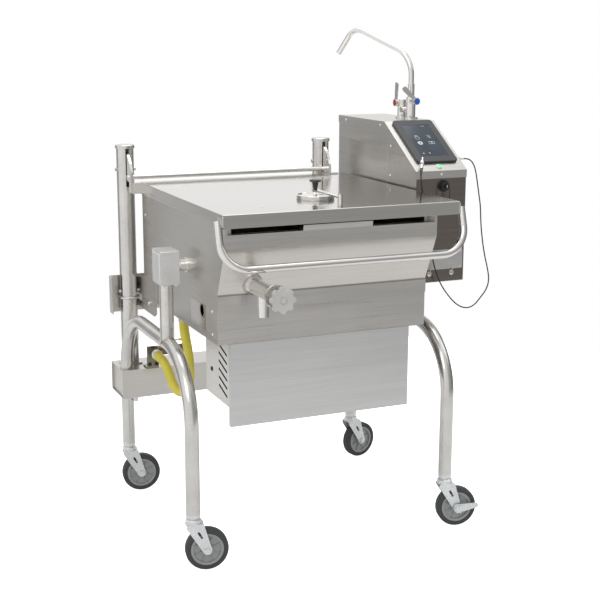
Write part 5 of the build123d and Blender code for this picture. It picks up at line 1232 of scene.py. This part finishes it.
class PAN_OT_gas_fittings(bpy.types.Operator):
    """Gas bracket, pipe, cock and its lever with a yellow sleeve"""

    bl_idname = "pan.gas_fittings"
    bl_label = "Gas fittings"

    def execute(self, context):
        dress("bracket_steel", "gas_bracket")
        dress("gas_pipe_metal", "gas_cock")
        dress("zinc_plate", "gas_cock_lever")
        lever, pipe = high("gas_cock_lever"), high("gas_cock")
        lever_middle = middle("gas_cock_lever")
        foot = at(lever.x - 0.0138, lever_middle.y, lever.z - 0.0058)
        sizes = (0.0285, 0.0152, 0.0056, 0.006, 0.0012)
        plate_piece("gas_lever_sleeve", foot, X, Y, sizes, "yellow_coating", "gas_lever_body")
        spot = at(pipe.x, lever_middle.y, COUPLING.z)
        cap = [(0.0163, -0.009), (0.0163, 0.0015), (0.0145, 0.0032), (0.006, 0.0036), (0, 0.0036)]
        turned_piece("gas_pipe_cap", cap, spot, X, "black_iron", crease=30, segments=8)
        bolts = bmesh.new()
        plate = low("gas_bracket")
        for x in (0.0085, 0.0315):
            hexagon_nut(bolts, at(plate.x + x, plate.y, plate.z + 0.0155), -Y, 0.0095, 0.0048)
        mesh_piece("gas_bracket_bolts", bolts, "black_iron", crease=30)
        return {"FINISHED"}


class PAN_PT_steps(bpy.types.Panel):
    """Steps that make the braising pan, in order"""

    bl_label = "Braising Pan"
    bl_idname = "PAN_PT_steps"
    bl_space_type = "VIEW_3D"
    bl_region_type = "UI"
    bl_category = "Braising Pan"

    def draw(self, context):
        for operator in OPERATORS:
            self.layout.operator(operator.bl_idname)
        for settings in (context.scene.pan_finishes, context.scene.pan_fittings, context.scene.pan_stage):
            box = self.layout.box()
            for name in settings.__annotations__:
                box.prop(settings, name)


OPERATORS = (
    PAN_OT_stage,
    PAN_OT_gas_hose,
    PAN_OT_probe_cord,
    PAN_OT_stand,
    PAN_OT_casters,
    PAN_OT_pan_body,
    PAN_OT_lid,
    PAN_OT_draw_off,
    PAN_OT_console,
    PAN_OT_screen,
    PAN_OT_faucet,
    PAN_OT_gas_fittings,
)
CLASSES = (FinishSettings, StageSettings, FittingSettings, *OPERATORS, PAN_PT_steps)


def register():
    """Registers the classes and hangs the settings on the scene."""
    for item in CLASSES:
        bpy.utils.register_class(item)
    bpy.types.Scene.pan_finishes = PointerProperty(type=FinishSettings)
    bpy.types.Scene.pan_stage = PointerProperty(type=StageSettings)
    bpy.types.Scene.pan_fittings = PointerProperty(type=FittingSettings)


def unregister():
    """Takes the settings off the scene and removes the classes."""
    del bpy.types.Scene.pan_finishes
    del bpy.types.Scene.pan_stage
    del bpy.types.Scene.pan_fittings
    for item in reversed(CLASSES):
        bpy.utils.unregister_class(item)


def main():
    register()
    for operator in OPERATORS:
        step = operator.bl_idname.split(".")[1]
        getattr(bpy.ops.pan, step)()


if __name__ == "__main__":
    main()
